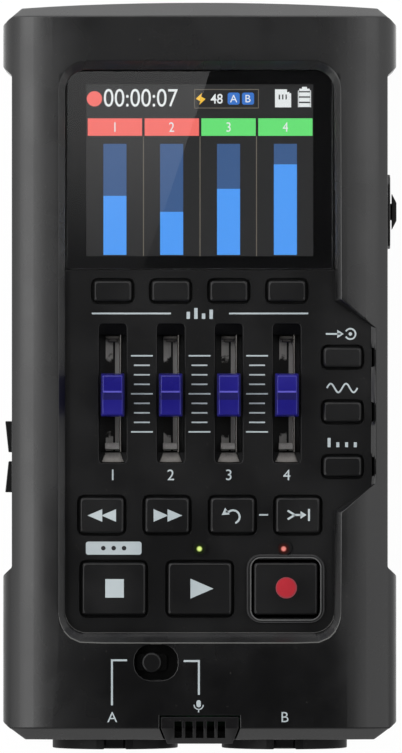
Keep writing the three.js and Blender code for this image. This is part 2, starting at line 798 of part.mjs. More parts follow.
// Cover that slides off the end in its two grooves, with finger ridges
function batteryCover() {
  const half = compartmentHalf - fitGap;
  const from = coverBottomY + fitGap;
  const plate = block(-half, half, from, topEnd - fitGap, caseBack, coverTop);
  const tongue = block(-half - tongueWidth, half + tongueWidth, from, topEnd - fitGap - backEdgeRadius,
    tongueBase, tongueBase + tongueThickness);
  const gripY = topEnd - compartmentEndWall - cellDiameter / 2;
  const grips = Array.from({ length: coverGripCount }, (_, i) => {
    const y = gripY - i * coverGripPitch;
    return block(-coverGripLength / 2, coverGripLength / 2, y - coverGripWidth / 2, y + coverGripWidth / 2,
      caseBack - overrun, caseBack + coverGripDepth);
  });
  const round = bar('x', backEdgeRadius, topEnd - backEdgeRadius, caseBack + backEdgeRadius,
    -bumperHalf, bumperHalf, roundSides);
  const corner = block(-bumperHalf, bumperHalf, topEnd - backEdgeRadius, topEnd + overrun,
    caseBack - overrun, caseBack + backEdgeRadius);
  return cut(plate.add(tongue), [...grips, corner.subtract(round)]);
}

// One cell: a can with a stud at its positive end
function cell(index) {
  const y = compartmentTopY - fitGap - (index + 1 / 2) * (cellDiameter + cellPitchGap);
  const z = cellFloor + fitGap + cellDiameter / 2;
  const side = index % 2 === 0 ? 1 : -1;
  const half = cellLength / 2;
  const can = side > 0 ? [-half, half - cellStudLength] : [cellStudLength - half, half];
  const stud = side > 0 ? [half - cellStudLength - overrun, half] : [-half, cellStudLength - half + overrun];
  return bar('x', cellDiameter / 2, y, z, ...can, cellSides)
    .add(bar('x', cellStudDiameter / 2, y, z, ...stud));
}

// A contact strip with a dome or spring for each cell
function contactStrip(side) {
  const inner = compartmentHalf - fitGap - contactThickness;
  const z = cellFloor + fitGap + cellDiameter / 2;
  const from = Math.min(side * inner, side * (inner + contactThickness));
  const strip = block(from, from + contactThickness, compartmentBottomY + fitGap,
    compartmentTopY - fitGap, z - cellDiameter / 3, z + cellDiameter / 3);
  const domes = Array.from({ length: cellCount }, (_, i) => {
    const y = compartmentTopY - fitGap - (i + 1 / 2) * (cellDiameter + cellPitchGap);
    const profile = [
      [0, 0], [contactDomeRadius, 0], [contactDomeRadius / 2, contactDomeHeight], [0, contactDomeHeight],
    ];
    const geometry = new THREE.LatheGeometry(profile.map((p) => new THREE.Vector2(...p)), smallSides);
    geometry.rotateZ(side * Math.PI / 2);
    geometry.translate(side * inner, y, z);
    return solid(geometry);
  });
  return join([strip, ...domes]);
}

// The plate that every control comes through
const xs = (count, pitch) => Array.from({ length: count }, (_, i) => (i - (count - 1) / 2) * pitch);
const channelXs = xs(channelCount, channelPitch);
const transportXs = xs(3, transportPitch);
const sideKeyYs = xs(3, sideKeyPitch).map((offset) => slotY - capLength / 2 + 2 * fitGap + offset).reverse();
const keys = [
  ...channelXs.map((x, i) => [`soft_key_${i + 1}`, x, softKeyY, softKeyWidth, softKeyLength]),
  ...['input_key', 'effect_key', 'rhythm_key'].map((name, i) => (
    [name, sideKeyX, sideKeyYs[i], sideKeyWidth, sideKeyLength])),
  ...['rewind_key', 'forward_key', 'undo_key', 'bounce_key'].map((name, i) => (
    [name, xs(4, rowKeyPitch)[i], rowKeyY, rowKeyWidth, rowKeyLength])),
  ...['stop_key', 'play_key', 'record_key'].map((name, i) => (
    [name, transportXs[i], transportY, transportWidth, transportLength])),
];
const lightXs = [transportXs[1], transportXs[2]];

function frontPanel() {
  const keyHoles = keys.map(([, x, y, width, length]) => (
    rounded(width + 2 * runGap, length + 2 * runGap, keyCorner + runGap, x, y)));
  const slots = channelXs.map((x) => rounded(slotWidth, slotLength, keyCorner, x, slotY));
  const lights = lightXs.map((x) => circle(lightRadius + fitGap, x, lightY, smallSides));
  const window = rounded(screenWidth + 2 * screenMargin, screenLength + 2 * screenMargin, keyCorner,
    0, screenY);
  const holes = [...keyHoles, ...slots, ...lights, window];
  const plate = push('z', plateOutline(0), panelBottom, panelTop, holes);
  const seat = block(-panelHalf, panelHalf, glassBottomY, panelTopY, glassBase - fitGap, panelTop + overrun);
  const ring = (grow, corner) => rounded(transportWidth + 2 * (guardGap + grow),
    transportLength + 2 * (guardGap + grow), corner, transportXs[2], transportY, wideCornerSteps);
  const guard = push('z', ring(guardWidth, guardCorner + guardWidth), panelTop - panelThickness / 2,
    panelTop + guardHeight, [ring(0, guardCorner)]);
  return plate.subtract(seat).add(guard);
}

function displayWindow() {
  const width = 2 * (panelHalf - fitGap);
  const length = glassLength - fitGap;
  const outline = rounded(width, length, panelCorner - fitGap, 0, (panelTopY + glassBottomY) / 2,
    wideCornerSteps);
  const lower = rounded(width, length / 2, keyCorner, 0, glassBottomY + fitGap / 2 + length / 4);
  return push('z', outline, glassBase, glassBase + glassThickness)
    .add(push('z', lower, glassBase, glassBase + glassThickness));
}

function displayModule() {
  const half = screenWidth / 2 + moduleBorder;
  const from = screenY - screenLength / 2 - moduleBorder;
  const to = screenY + screenLength / 2 + moduleBorder;
  const body = block(-half, half, from, to, faderBase, faderTop);
  const step = block(-half - overrun, -half + moduleBorder / 2, from - overrun, to + overrun,
    faderTop - moduleBorder / 2, faderTop + overrun);
  return cut(body, [step]);
}

// A key: stem, retaining flange and bevelled cap, as one moulding
function keyShape([, x, y, width, length]) {
  const flangeTop = panelBottom - fitGap;
  const flangeBase = flangeTop - keyFlangeThickness;
  const stemBase = boardTop + domeHeight + keyTravel + fitGap;
  const capTop = panelTop + keyProud;
  const stem = rounded(stemWidth, stemWidth, keyCorner, x, y);
  const cap = rounded(width, length, keyCorner, x, y);
  const reach = 2 * (runGap + keyFlange);
  const flange = rounded(width + reach, length + reach, keyCorner, x, y);
  const crown = rounded(width - 2 * keyBevel, length - 2 * keyBevel, keyCorner, x, y);
  return loft([
    { outline: stem, z: stemBase },
    { outline: stem, z: flangeBase },
    { outline: flange, z: flangeBase },
    { outline: flange, z: flangeTop },
    { outline: cap, z: flangeTop },
    { outline: cap, z: capTop - keyBevel },
    { outline: crown, z: capTop },
  ]);
}

// Main board, with the key domes, card socket and switch bodies soldered to it
function mainBoard() {
  const plate = block(-boardHalf, boardHalf, boardBottomY, boardTopY, boardBottom, boardTop);
  const domes = keys.map(([, x, y]) => block(x - domeWidth / 2, x + domeWidth / 2, y - domeWidth / 2,
    y + domeWidth / 2, boardTop - fitGap, boardTop + domeHeight));
  const powerBody = block(boardHalf - switchBodyWidth, boardHalf, powerY - switchPlateLength / 2,
    powerY + switchPlateLength / 2, boardTop - fitGap, sideControlZ + switchNeckHeight / 2);
  const volumeBodies = [-1, 1].map((side) => {
    const y = volumeY + side * volumePitch / 2;
    return block(-boardHalf, -boardHalf + volumeSwitchWidth, y - volumeLength / 3, y + volumeLength / 3,
      boardTop - fitGap, sideControlZ + volumeHeight / 4);
  });
  const socketFace = cavityHalf - fitGap;
  const cardBody = block(socketFace - cardSocketDepth, socketFace, doorY - cardWidth / 2 - usbShell,
    doorY + cardWidth / 2 + usbShell, boardBottom - cardSocketHeight, boardBottom);
  const cardSlot = block(socketFace - cardSocketDepth * 3 / 4, socketFace + overrun,
    doorY - cardWidth / 2, doorY + cardWidth / 2, doorZ - cardSlotHeight / 2, doorZ + cardSlotHeight / 2);
  return cut(join([plate, ...domes, powerBody, ...volumeBodies, cardBody]), [cardSlot]);
}

// Fader frame: a steel channel with ramps at its ends and a guide rail
function faderFrame(x) {
  const half = slotWidth / 2 + faderFrameWall;
  const endHalf = slotLength / 2 + faderFrameWall;
  const floor = faderBase + faderFrameWall;
  const outer = block(x - half, x + half, slotY - endHalf, slotY + endHalf, faderBase, faderTop);
  const rampTop = faderTop - faderFrameWall;
  const from = slotY - slotLength / 2;
  const to = slotY + slotLength / 2;
  const channel = [
    new THREE.Vector2(from + faderRampRun, floor),
    new THREE.Vector2(to - faderRampRun, floor),
    new THREE.Vector2(to - faderRampRun, rampTop - faderRampDrop),
    new THREE.Vector2(to, rampTop),
    new THREE.Vector2(to, faderTop + overrun),
    new THREE.Vector2(from, faderTop + overrun),
    new THREE.Vector2(from, rampTop),
    new THREE.Vector2(from + faderRampRun, rampTop - faderRampDrop),
  ];
  const rail = bar('y', railRadius, x + railOffset, (floor + faderTop) / 2, slotY - endHalf + fitGap,
    slotY + endHalf - fitGap, 8);
  return outer.subtract(push('x', channel, x - slotWidth / 2, x + slotWidth / 2)).add(rail);
}

// Fader cap: a grip with two flat halves, a soft step down from its pointer line, and a lever
// that reaches into the frame
function faderCap(x) {
  const base = panelTop + runGap;
  const top = base + capHeight;
  const low = top - capStep;
  const half = capLength / 2;
  const capY = slotY - capRestDrop;
  const profile = [
    [-half, base], [half, base], [half - capFlare / 2, top - capFlare], [half - capFlare, top],
    [capLine, top], [capLine - capStepRun, low], [capFlare - half, low],
    [capFlare / 2 - half, low - capFlare],
  ].map(([y, z]) => new THREE.Vector2(capY + y, z));
  const across = [
    [-capWidth / 2, base - overrun], [capWidth / 2, base - overrun],
    [capWidth / 2, base + capHeight / 3], [capWidth / 2 - capFlare, top + overrun],
    [capFlare - capWidth / 2, top + overrun], [-capWidth / 2, base + capHeight / 3],
  ].map(([u, z]) => new THREE.Vector2(x + u, z));
  const grip = push('x', profile, x - capWidth, x + capWidth)
    .intersect(push('y', across, capY - capLength, capY + capLength));
  const leverBase = faderBase + faderFrameWall + runGap;
  const leverX = x - leverWidth / 4;
  const lever = block(leverX - leverWidth / 2, leverX + leverWidth / 2, capY - leverLength / 2,
    capY + leverLength / 2, leverBase, base + capHeight / 2);
  return grip.add(lever);
}

// Light pipe: a clear bar on two legs, with a post up to each indicator hole
function lightPipe() {
  const top = faderTop - keyFlangeThickness - keyTravel;
  const from = lightXs[0] - lightBarWidth;
  const to = lightXs[1] + lightBarWidth;
  const beam = block(from, to, lightY - lightBarWidth / 2, lightY + lightBarWidth / 2,
    top - lightBarHeight, top);
  const posts = lightXs.map((x) => bar('z', lightRadius, x, lightY, boardTop + fitGap,
    panelTop + fitGap));
  return join([beam, ...posts]);
}

// Combined jack: a collar with a ring groove for the plug's shell, three pin holes and a centre bore
function comboJack(x) {
  const bodyFront = cavityBottom + fitGap;
  const collar = bar('y', collarRadius, x, jackZ, collarFace, bodyFront + overrun, roundSides);
  const body = push('y', rounded(2 * jackBodyHalf, 2 * jackBodyHalf, jackBodyHalf / 4, x, jackZ),
    bodyFront, jackBack);
  const tailHalf = jackBoreRadius + jackBoreWall;
  const tail = block(x - tailHalf, x + tailHalf, jackBack - overrun, jackBack + jackTailDepth,
    jackZ - tailHalf, jackZ + tailHalf);
  const grooveEnd = collarFace + grooveDepth;
  const groove = bar('y', grooveOuterRadius, x, jackZ, collarFace - overrun, grooveEnd, roundSides)
    .subtract(bar('y', grooveInnerRadius, x, jackZ, collarFace - 2 * overrun, grooveEnd + overrun,
      roundSides));
  const bore = bar('y', jackBoreRadius, x, jackZ, collarFace - overrun,
    jackBack + jackTailDepth - jackBoreWall, cellSides);
  const pinHoles = [0, 1, 2].map((i) => {
    const turn = Math.PI / 2 + (i + 1 / 2) * 2 * Math.PI / 3;
    return bar('y', pinHoleRadius, x + pinCircleRadius * Math.cos(turn),
      jackZ + pinCircleRadius * Math.sin(turn), collarFace - overrun, grooveEnd, 8);
  });
  const tabSlot = block(x - tabWidth / 2 - fitGap, x + tabWidth / 2 + fitGap, collarFace - overrun,
    collarFace + tabInset + tabLength + fitGap, tabTop - tabHeight - tabTravel - fitGap,
    jackZ + jackBodyHalf + overrun);
  return cut(join([collar, body, tail]), [groove, bore, ...pinHoles, tabSlot]);
}

const tabTop = jackZ + collarRadius - tabInset;
function releaseTab(x) {
  const from = collarFace + tabInset;
  const profile = [
    [from, tabTop - tabHeight], [from + tabLength, tabTop - tabHeight / 2], [from + tabLength, tabTop],
    [from + tabHeight, tabTop], [from, tabTop - tabHeight / 2],
  ].map(([y, z]) => new THREE.Vector2(y, z));
  return push('x', profile, x - tabWidth / 2, x + tabWidth / 2);
}

// Input board over the jacks, with the selector's switch body
function inputBoard() {
  const half = jackPitch / 2 + jackBodyHalf;
  const plate = block(-half, half, cavityBottom + fitGap, inputBoardEnd, inputBoardBottom, inputBoardTop);
  const body = block(-selectorOffset - selectorBodyWidth / 2, -selectorOffset + selectorBodyWidth / 2,
    selectorY - selectorBodyLength / 2, selectorY + selectorBodyLength / 2, inputBoardTop - fitGap,
    crownZ - selectorRecessDepth - selectorFloor - fitGap);
  return plate.add(body);
}

// Selector knob: a button on a neck, with a shutter that hides the slot
function selectorKnob() {
  const x = -selectorOffset - selectorTravel / 2;
  const floor = crownZ - selectorRecessDepth;
  const top = crownZ + selectorKnobProud;
  const disc = loft([
    { outline: circle(selectorKnobRadius, x, selectorY, cellSides), z: floor + fitGap },
    { outline: circle(selectorKnobRadius, x, selectorY, cellSides), z: top - keyBevel },
    { outline: circle(selectorKnobRadius - keyBevel, x, selectorY, cellSides), z: top },
  ]);
  const neck = bar('z', selectorNeckRadius, x, selectorY, floor - selectorFloor, floor + selectorFloor);
  const shutter = push('z', rounded(shutterLength, shutterWidth, keyCorner, x, selectorY), floor + fitGap,
    floor + fitGap + shutterThickness);
  return join([disc, neck, shutter]);
}

// Grille: a bent plate that fills the notch in the bevel, with slots through its slope
function micGrille() {
  const profile = [
    [grilleTopY, crownZ], [bottomEnd + endBevelRun, crownZ], [bottomEnd - grilleLip, shoulderZ],
    [bottomEnd - grilleLip, grilleBase], [bottomEnd + grilleDepth, grilleBase],
    [grilleTopY, crownZ - grilleDepth],
  ].map(([y, z]) => new THREE.Vector2(y, z));
  const plate = push('x', profile, -grilleWidth / 2, grilleWidth / 2)
    .intersect(push('z', grilleOutline(0), grilleBase - overrun, crownZ + overrun));
  const slots = xs(grilleSlotCount, grilleSlotPitch).map((x) => (
    block(x - grilleSlotWidth / 2, x + grilleSlotWidth / 2, grilleTopY - grilleBarRun - grilleSlotRun,
      grilleTopY - grilleBarRun, grilleBase - overrun, crownZ + overrun)));
  return cut(plate, slots);
}

function micCapsule() {
  return bar('z', capsuleRadius, 0, capsuleY, panelBottom, panelBottom + capsuleHeight);
}

// Power switch: a fixed plate in the side and a tapered knob that slides along it
function powerPlate() {
  const outerX = waistHalf + switchPlateProud;
  const slotHalf = (switchTravel + switchNeckLength) / 2 + fitGap;
  const slotHeight = switchNeckHeight / 2 + fitGap;
  const outline = rounded(switchPlateLength, switchPlateHeight, switchPlateHeight / 4, powerY, sideControlZ);
  const slot = rounded(2 * slotHalf, 2 * slotHeight, slotHeight / 4, powerY, sideControlZ);
  return push('x', outline, outerX - switchPlateThickness, outerX, [slot]);
}

function powerKnob() {
  const base = waistHalf + switchPlateProud + fitGap;
  const outer = base + switchKnobProud;
  const profile = [
    [base, -switchKnobLength / 2], [outer, -switchKnobLength / 4], [outer, switchKnobLength / 4],
    [base, switchKnobLength / 2],
  ].map(([x, y]) => new THREE.Vector2(x, powerY + y));
  const grip = push('z', profile, sideControlZ - switchKnobHeight / 2, sideControlZ + switchKnobHeight / 2);
  const neck = block(boardHalf + fitGap, base + switchKnobProud / 2, powerY - switchNeckLength / 2,
    powerY + switchNeckLength / 2, sideControlZ - switchNeckHeight / 2, sideControlZ + switchNeckHeight / 2);
  return grip.add(neck);
}

// Volume button: a wedge that slopes towards its fellow, with a flange inside the wall
function volumeButton(side) {
  const y = volumeY + side * volumePitch / 2;
  const half = volumeLength / 2;
  const outer = waistHalf + volumeProud;
  const profile = [
    [-cavityHalf + volumeFlange, -half], [-cavityHalf + volumeFlange, half],
    [-outer + (side > 0 ? 0 : volumeTaper), half], [-outer + (side > 0 ? volumeTaper : 0), -half],
  ].map(([x, offset]) => new THREE.Vector2(x, y + offset));
  const cap = push('z', profile.reverse(), sideControlZ - volumeHeight / 2, sideControlZ + volumeHeight / 2);
  const reach = volumeHeight / 2 + 2 * fitGap;
  const flange = block(-cavityHalf + fitGap, -cavityHalf + fitGap + volumeFlange, y - half - 2 * fitGap,
    y + half + 2 * fitGap, sideControlZ - reach, sideControlZ + reach);
  const plunger = block(-cavityHalf + fitGap, -boardHalf - volumeTravel - fitGap, y - volumeFlange,
    y + volumeFlange, sideControlZ - volumeFlange, sideControlZ + volumeFlange);
  return join([cap, flange, plunger]);
}

function usbSocket() {
  const z = boardTop + fitGap + usbHeight / 2;
  const outer = waistHalf - fitGap;
  const outline = (shrink) => rounded(usbWidth - 2 * shrink, usbHeight - 2 * shrink,
    usbHeight / 2 - shrink - fitGap / 2, socketY, z, wideCornerSteps);
  const shell = push('x', outline(0), outer - usbDepth, outer);
  const mouth = push('x', outline(usbShell), outer - usbDepth + usbHeight / 2, outer + overrun);
  const tongue = block(outer - usbDepth + usbShell, outer - usbShell, socketY - usbWidth / 3,
    socketY + usbWidth / 3, z - usbTongue / 2, z + usbTongue / 2);
  return shell.subtract(mouth).add(tongue);
}

function phonesJack() {
  const z = boardTop + fitGap + phonesBodyHeight / 2;
  const outer = -waistHalf + fitGap;
  const inner = -cavityHalf + fitGap;
  const body = block(inner, inner + phonesBodyLength, socketY - phonesBodyWidth / 2,
    socketY + phonesBodyWidth / 2, z - phonesBodyHeight / 2, z + phonesBodyHeight / 2);
  const barrel = bar('x', phonesRadius - fitGap / 2, socketY, z, outer, inner + overrun, cellSides);
  const bore = bar('x', phonesBore, socketY, z, outer - overrun, inner + phonesBodyLength / 2, smallSides);
  return body.add(barrel).subtract(bore);
}

// Card door: a flap with a round hinge edge
function cardDoor() {
  const inner = waistHalf - doorThickness;
  const from = doorZ - doorHeight / 2;
  const to = doorZ + doorHeight / 2;
  const flap = block(inner, waistHalf, doorAxisY, doorY + doorLength / 2, from, to);
  const knuckle = bar('z', doorPinRadius, doorAxisX, doorAxisY, from, to, smallSides);
  const end = doorY + doorLength / 2;
  const nailNotch = block(waistHalf - doorPinRadius, waistHalf + overrun, end - 2 * doorPinRadius,
    end + overrun, doorZ - doorHeight / 4, doorZ + doorHeight / 4);
  return flap.add(knuckle).subtract(nailNotch);
}

function caseScrew([x, y]) {
  const headBase = screwSeat - fitGap - screwHeadHeight;
  const head = bar('z', screwHeadDiameter / 2, x, y, headBase, screwSeat - fitGap);
  const shank = bar('z', screwShankDiameter / 2, x, y, screwSeat - screwHeadHeight / 2, screwTip, 8);
  const slots = [0, 1].map((turn) => {
    const across = turn ? screwSlotWidth / 2 : screwHeadDiameter / 4;
    const along = turn ? screwHeadDiameter / 4 : screwSlotWidth / 2;
    return block(x - across, x + across, y - along, y + along, headBase - overrun,
      headBase + screwHeadHeight / 2);
  });
  return cut(head.add(shank), slots);
}

function foot([x, y]) {
  return push('z', rounded(footWidth, footLength, footWidth / 4, x, y), 0, footHeight + footSunk);
}

// Assembly, from the outside in
place('front_case', frontCase(), 'case');
place('rear_case', rearCase(), 'case');
place('battery_cover', batteryCover(), 'case');
place('front_panel', frontPanel(), 'panel');
place('display_window', displayWindow(), 'glass');
place('display_module', displayModule(), 'steel');
place('main_board', mainBoard(), 'board');
place('input_board', inputBoard(), 'board');
channelXs.forEach((x, i) => {
  place(`fader_frame_${i + 1}`, faderFrame(x), 'steel');
  place(`fader_cap_${i + 1}`, faderCap(x), 'blue');
});
keys.forEach((key) => place(key[0], keyShape(key), 'key'));
place('light_pipe', lightPipe(), 'light');
jackXs.forEach((x, i) => {
  place(`combo_jack_${'ab'[i]}`, comboJack(x), 'nylon');
  place(`release_tab_${'ab'[i]}`, releaseTab(x), 'nylon');
});
place('selector_knob', selectorKnob(), 'key');
place('mic_grille', micGrille(), 'case');
place('mic_capsule', micCapsule(), 'steel');
place('power_plate', powerPlate(), 'case');
place('power_knob', powerKnob(), 'key');
place('volume_up_button', volumeButton(1), 'key');
place('volume_down_button', volumeButton(-1), 'key');
place('usb_socket', usbSocket(), 'steel');
place('phones_jack', phonesJack(), 'nylon');
place('card_door', cardDoor(), 'case');
Array.from({ length: cellCount }, (_, i) => place(`battery_cell_${i + 1}`, cell(i), 'cell'));
place('battery_contacts_left', contactStrip(-1), 'brass');
place('battery_contacts_right', contactStrip(1), 'brass');
screwPlaces.forEach((at, i) => place(`case_screw_${i + 1}`, caseScrew(at), 'steel'));
footPlaces.forEach((at, i) => place(`foot_${i + 1}`, foot(at), 'rubber'));

export default recorder;
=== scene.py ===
# A handheld four-track recorder, seen square-on from the front, lying on a pale table.
# The script follows the recorder as it is put together: set and light, case, panel, display,
# keys, faders, lights, selector, microphone, jacks, side controls, boards, cells and feet.
import json
import math

import bmesh
import bpy
from mathutils import Matrix, Vector
from mathutils.bvhtree import BVHTree

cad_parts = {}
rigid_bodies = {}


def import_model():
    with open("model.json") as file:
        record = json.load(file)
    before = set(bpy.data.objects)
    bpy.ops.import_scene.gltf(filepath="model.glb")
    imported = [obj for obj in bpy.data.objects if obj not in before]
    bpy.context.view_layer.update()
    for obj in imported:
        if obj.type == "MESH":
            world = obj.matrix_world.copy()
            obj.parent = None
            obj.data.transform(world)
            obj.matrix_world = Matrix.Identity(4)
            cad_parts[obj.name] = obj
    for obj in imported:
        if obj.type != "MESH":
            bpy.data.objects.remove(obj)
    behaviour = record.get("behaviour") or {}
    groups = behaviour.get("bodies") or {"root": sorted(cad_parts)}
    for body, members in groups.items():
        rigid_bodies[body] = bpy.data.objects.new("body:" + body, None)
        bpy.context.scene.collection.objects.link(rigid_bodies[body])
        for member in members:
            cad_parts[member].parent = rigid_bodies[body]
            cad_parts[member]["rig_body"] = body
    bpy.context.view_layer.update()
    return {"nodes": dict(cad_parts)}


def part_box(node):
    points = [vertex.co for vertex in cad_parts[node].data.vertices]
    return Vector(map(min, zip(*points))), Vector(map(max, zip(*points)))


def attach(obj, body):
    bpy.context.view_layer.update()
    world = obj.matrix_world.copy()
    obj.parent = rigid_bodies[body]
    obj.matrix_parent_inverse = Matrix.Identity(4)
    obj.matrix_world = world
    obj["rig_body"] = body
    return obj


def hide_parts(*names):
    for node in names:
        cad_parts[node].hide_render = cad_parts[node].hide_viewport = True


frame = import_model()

# Table, camera and lights: a seamless pale sweep, one long soft box behind the display end,
# a narrow one over each side, and a faint card whose mirror image gives the display glass its
# slanting sheen.
MM = 0.001
VIEW_FRAME = (402, 753)
PIXELS_PER_MM = 5.45
CAMERA_DISTANCE = 2.0
PANEL_HEIGHT = 30 * MM
VIEW_X, VIEW_Y = 0.23 * MM, -0.05 * MM


def placed(title, data):
    """A new object in the scene that holds some data, or a mesh made from a shape."""
    if isinstance(data, bmesh.types.BMesh):
        shape, data = data, bpy.data.meshes.new(title)
        shape.to_mesh(data)
        shape.free()
    made = bpy.data.objects.new(title, data)
    bpy.context.scene.collection.objects.link(made)
    return made


camera_data = bpy.data.cameras.new("camera")
camera_data.sensor_fit = "AUTO"
camera_data.sensor_width = 36
camera_data.lens = 36 * CAMERA_DISTANCE / (VIEW_FRAME[1] / PIXELS_PER_MM * MM)
camera_data.clip_start = 0.1
camera_data.clip_end = 50
camera = placed("camera", camera_data)
camera.location = (VIEW_X, VIEW_Y, PANEL_HEIGHT + CAMERA_DISTANCE)
bpy.context.scene.camera = camera

floor_shape = bmesh.new()
bmesh.ops.create_grid(floor_shape, x_segments=1, y_segments=1, size=3)
table = placed("table", floor_shape)


def feed(tree, value, socket):
    """Links an output to an input, or gives the input a fixed value."""
    if isinstance(value, bpy.types.NodeSocket):
        tree.links.new(value, socket)
    else:
        socket.default_value = value


def node(tree, kind, **settings):
    """A shader node. Settings name its properties or its inputs, which take values or outputs."""
    made = tree.nodes.new("ShaderNode" + kind)
    for name, value in settings.items():
        if hasattr(made, name):
            setattr(made, name, value)
        else:
            feed(tree, value, made.inputs[name.replace("_", " ")])
    return made


def even(tree, value, from_min=0, from_max=1, to_min=0, to_max=1, kind="LINEAR"):
    """A change from one range of values to another."""
    made = node(tree, "MapRange", interpolation_type=kind, Value=value, From_Min=from_min,
                From_Max=from_max, To_Min=to_min, To_Max=to_max)
    return made.outputs["Result"]


def fade(tree, value, *ranges):
    """The same change with soft ends."""
    return even(tree, value, *ranges, kind="SMOOTHSTEP")


def reckon(tree, operation, *values, kind="Math"):
    """A sum, product or other reckoning with outputs or fixed numbers."""
    made = node(tree, kind, operation=operation)
    for socket, value in zip(made.inputs, values):
        feed(tree, value, socket)
    return made.outputs["Value"]


def place_on(tree, kind="Object"):
    """A place on the object, or a direction in the room."""
    return node(tree, "TexCoord").outputs[kind]


def axes(tree, kind="Object"):
    """X, Y and Z of such a place or direction."""
    return node(tree, "SeparateXYZ", Vector=place_on(tree, kind)).outputs


def material_of(title, **values):
    """A new material, its node tree, and its surface with some values set."""
    material = bpy.data.materials.new(title)
    material.use_nodes = True
    surface = material.node_tree.nodes["Principled BSDF"]
    for name, value in values.items():
        surface.inputs[name.replace("_", " ")].default_value = value
    return material, material.node_tree, surface


table_paint, tree = material_of("table paint")[:2]
tree.nodes.clear()
paint = node(tree, "BsdfDiffuse", Color=(0.85, 0.85, 0.85, 1))
rays = node(tree, "LightPath").outputs
lit_end = fade(tree, axes(tree)["Y"], -0.25, 0.3, 0.2, 1.7)
lit_end = reckon(tree, "MULTIPLY", lit_end, rays["Is Glossy Ray"])
plain_view = reckon(tree, "SUBTRACT", 1.02, rays["Is Glossy Ray"])
lit = reckon(tree, "ADD", lit_end, plain_view)
glow = node(tree, "Emission", Color=(1, 1, 1, 1), Strength=lit)
seen = reckon(tree, "MAXIMUM", rays["Is Camera Ray"], rays["Is Glossy Ray"])
seen = reckon(tree, "MAXIMUM", seen, rays["Is Transmission Ray"])
blend = node(tree, "MixShader", Fac=reckon(tree, "MULTIPLY", seen, 0.94))
feed(tree, paint.outputs[0], blend.inputs[1])
feed(tree, glow.outputs[0], blend.inputs[2])
node(tree, "OutputMaterial", Surface=blend.outputs[0])
table.data.materials.append(table_paint)


def soft_box(title, place, aim, width, length, power):
    """An oblong area lamp at a place, turned to face a point."""
    lamp = bpy.data.lights.new(title, "AREA")
    lamp.shape = "RECTANGLE"
    lamp.size = width
    lamp.size_y = length
    lamp.energy = power
    lamp_object = placed(title, lamp)
    lamp_object.location = place
    lamp_object.rotation_euler = (Vector(aim) - Vector(place)).to_track_quat("-Z", "Y").to_euler()


soft_box("end soft box", (-0.02, 0.18, 0.25), (0, 0.02, 0.03), 0.4, 0.1, 0.27)
soft_box("left strip", (-0.2, 0.04, 0.36), (0, -0.02, 0.03), 0.1, 0.3, 0.045)
soft_box("right strip", (0.2, 0.06, 0.36), (0, 0.02, 0.03), 0.1, 0.3, 0.06)

# Glare card: a small glowing sheet over the display that only its mirror image shows.
CARD_HEIGHT = 0.5
card_shape = bmesh.new()
grown = 1 + CARD_HEIGHT / CAMERA_DISTANCE
corners = [(-45, 80), (1.9, 80), (1.9, 56), (-0.9, 47.4), (-2.7, 42.1), (-6, 32), (-14, 10), (-45, 10)]
card_shape.faces.new([card_shape.verts.new((x * grown * MM, y * grown * MM, PANEL_HEIGHT + CARD_HEIGHT))
                      for x, y in corners])
card = placed("glare card", card_shape)
for rays_of in ("camera", "diffuse", "shadow", "transmission"):
    setattr(card, "visible_" + rays_of, False)
card_paint, tree = material_of("glowing card")[:2]
tree.nodes.clear()
sheen = fade(tree, axes(tree)["Y"], 0.014 * grown, 0.057 * grown, 0.1, 1.15)
glow = node(tree, "Emission", Color=(1, 1, 1, 1), Strength=sheen)
node(tree, "OutputMaterial", Surface=glow.outputs[0])
card.data.materials.append(card_paint)

# Room: dark overhead, with a bright wall on the left and on the right and a paler far wall.
room = bpy.data.worlds.new("room")
room.use_nodes = True
bpy.context.scene.world = room
tree = room.node_tree
way = axes(tree, "Generated")
beside = fade(tree, reckon(tree, "ABSOLUTE", way["Y"]), 0.45, 0.9, 1, 0)
left_wall = reckon(tree, "MULTIPLY", fade(tree, way["X"], -0.36, -0.545, 0, 3.05), beside)
left_wall = reckon(tree, "MULTIPLY", left_wall, fade(tree, way["X"], -0.55, -1, 1, 0.35))
right_wall = reckon(tree, "MULTIPLY", fade(tree, way["X"], 0.28, 0.5, 0, 1.2), beside)
right_wall = reckon(tree, "MULTIPLY", right_wall, fade(tree, way["X"], 0.6, 1, 1, 0.95))
far_wall = fade(tree, way["Y"], 0.6, 0.92, 0, 1.4)
near_wall = fade(tree, way["Y"], -0.7, -0.95, 0, 0.4)
side_walls = reckon(tree, "ADD", left_wall, right_wall)
walls = reckon(tree, "ADD", side_walls, reckon(tree, "ADD", far_wall, near_wall))
background = tree.nodes["Background"].inputs
feed(tree, reckon(tree, "ADD", walls, 0.03), background["Strength"])
feed(tree, (1, 1, 1, 1), background["Color"])
bpy.context.scene.view_settings.view_transform = "Standard"

# Case: two shells moulded in charcoal ABS with a fine spark-eroded grain. The front shell has
# the crowned face, the bumpers and the sloped opening; both are held together by four screws
# from the back.
CASE_CREASE = 24


def effect(title, inputs, outputs):
    """A node group with named float inputs and named outputs, and the sockets inside it."""
    group = bpy.data.node_groups.new(title, "ShaderNodeTree")
    for name, value in inputs:
        socket = group.interface.new_socket(name=name, in_out="INPUT", socket_type="NodeSocketFloat")
        socket.default_value = value
    for name in outputs:
        group.interface.new_socket(name=name, in_out="OUTPUT", socket_type="NodeSocketFloat")
    return group, group.nodes.new("NodeGroupInput").outputs, group.nodes.new("NodeGroupOutput").inputs


def noise(tree, scale, detail, roughness):
    """A cloudy texture that is fixed to the object."""
    made = node(tree, "TexNoise", Vector=place_on(tree), Scale=scale, Detail=detail,
                Roughness=roughness)
    return made.outputs["Fac"]


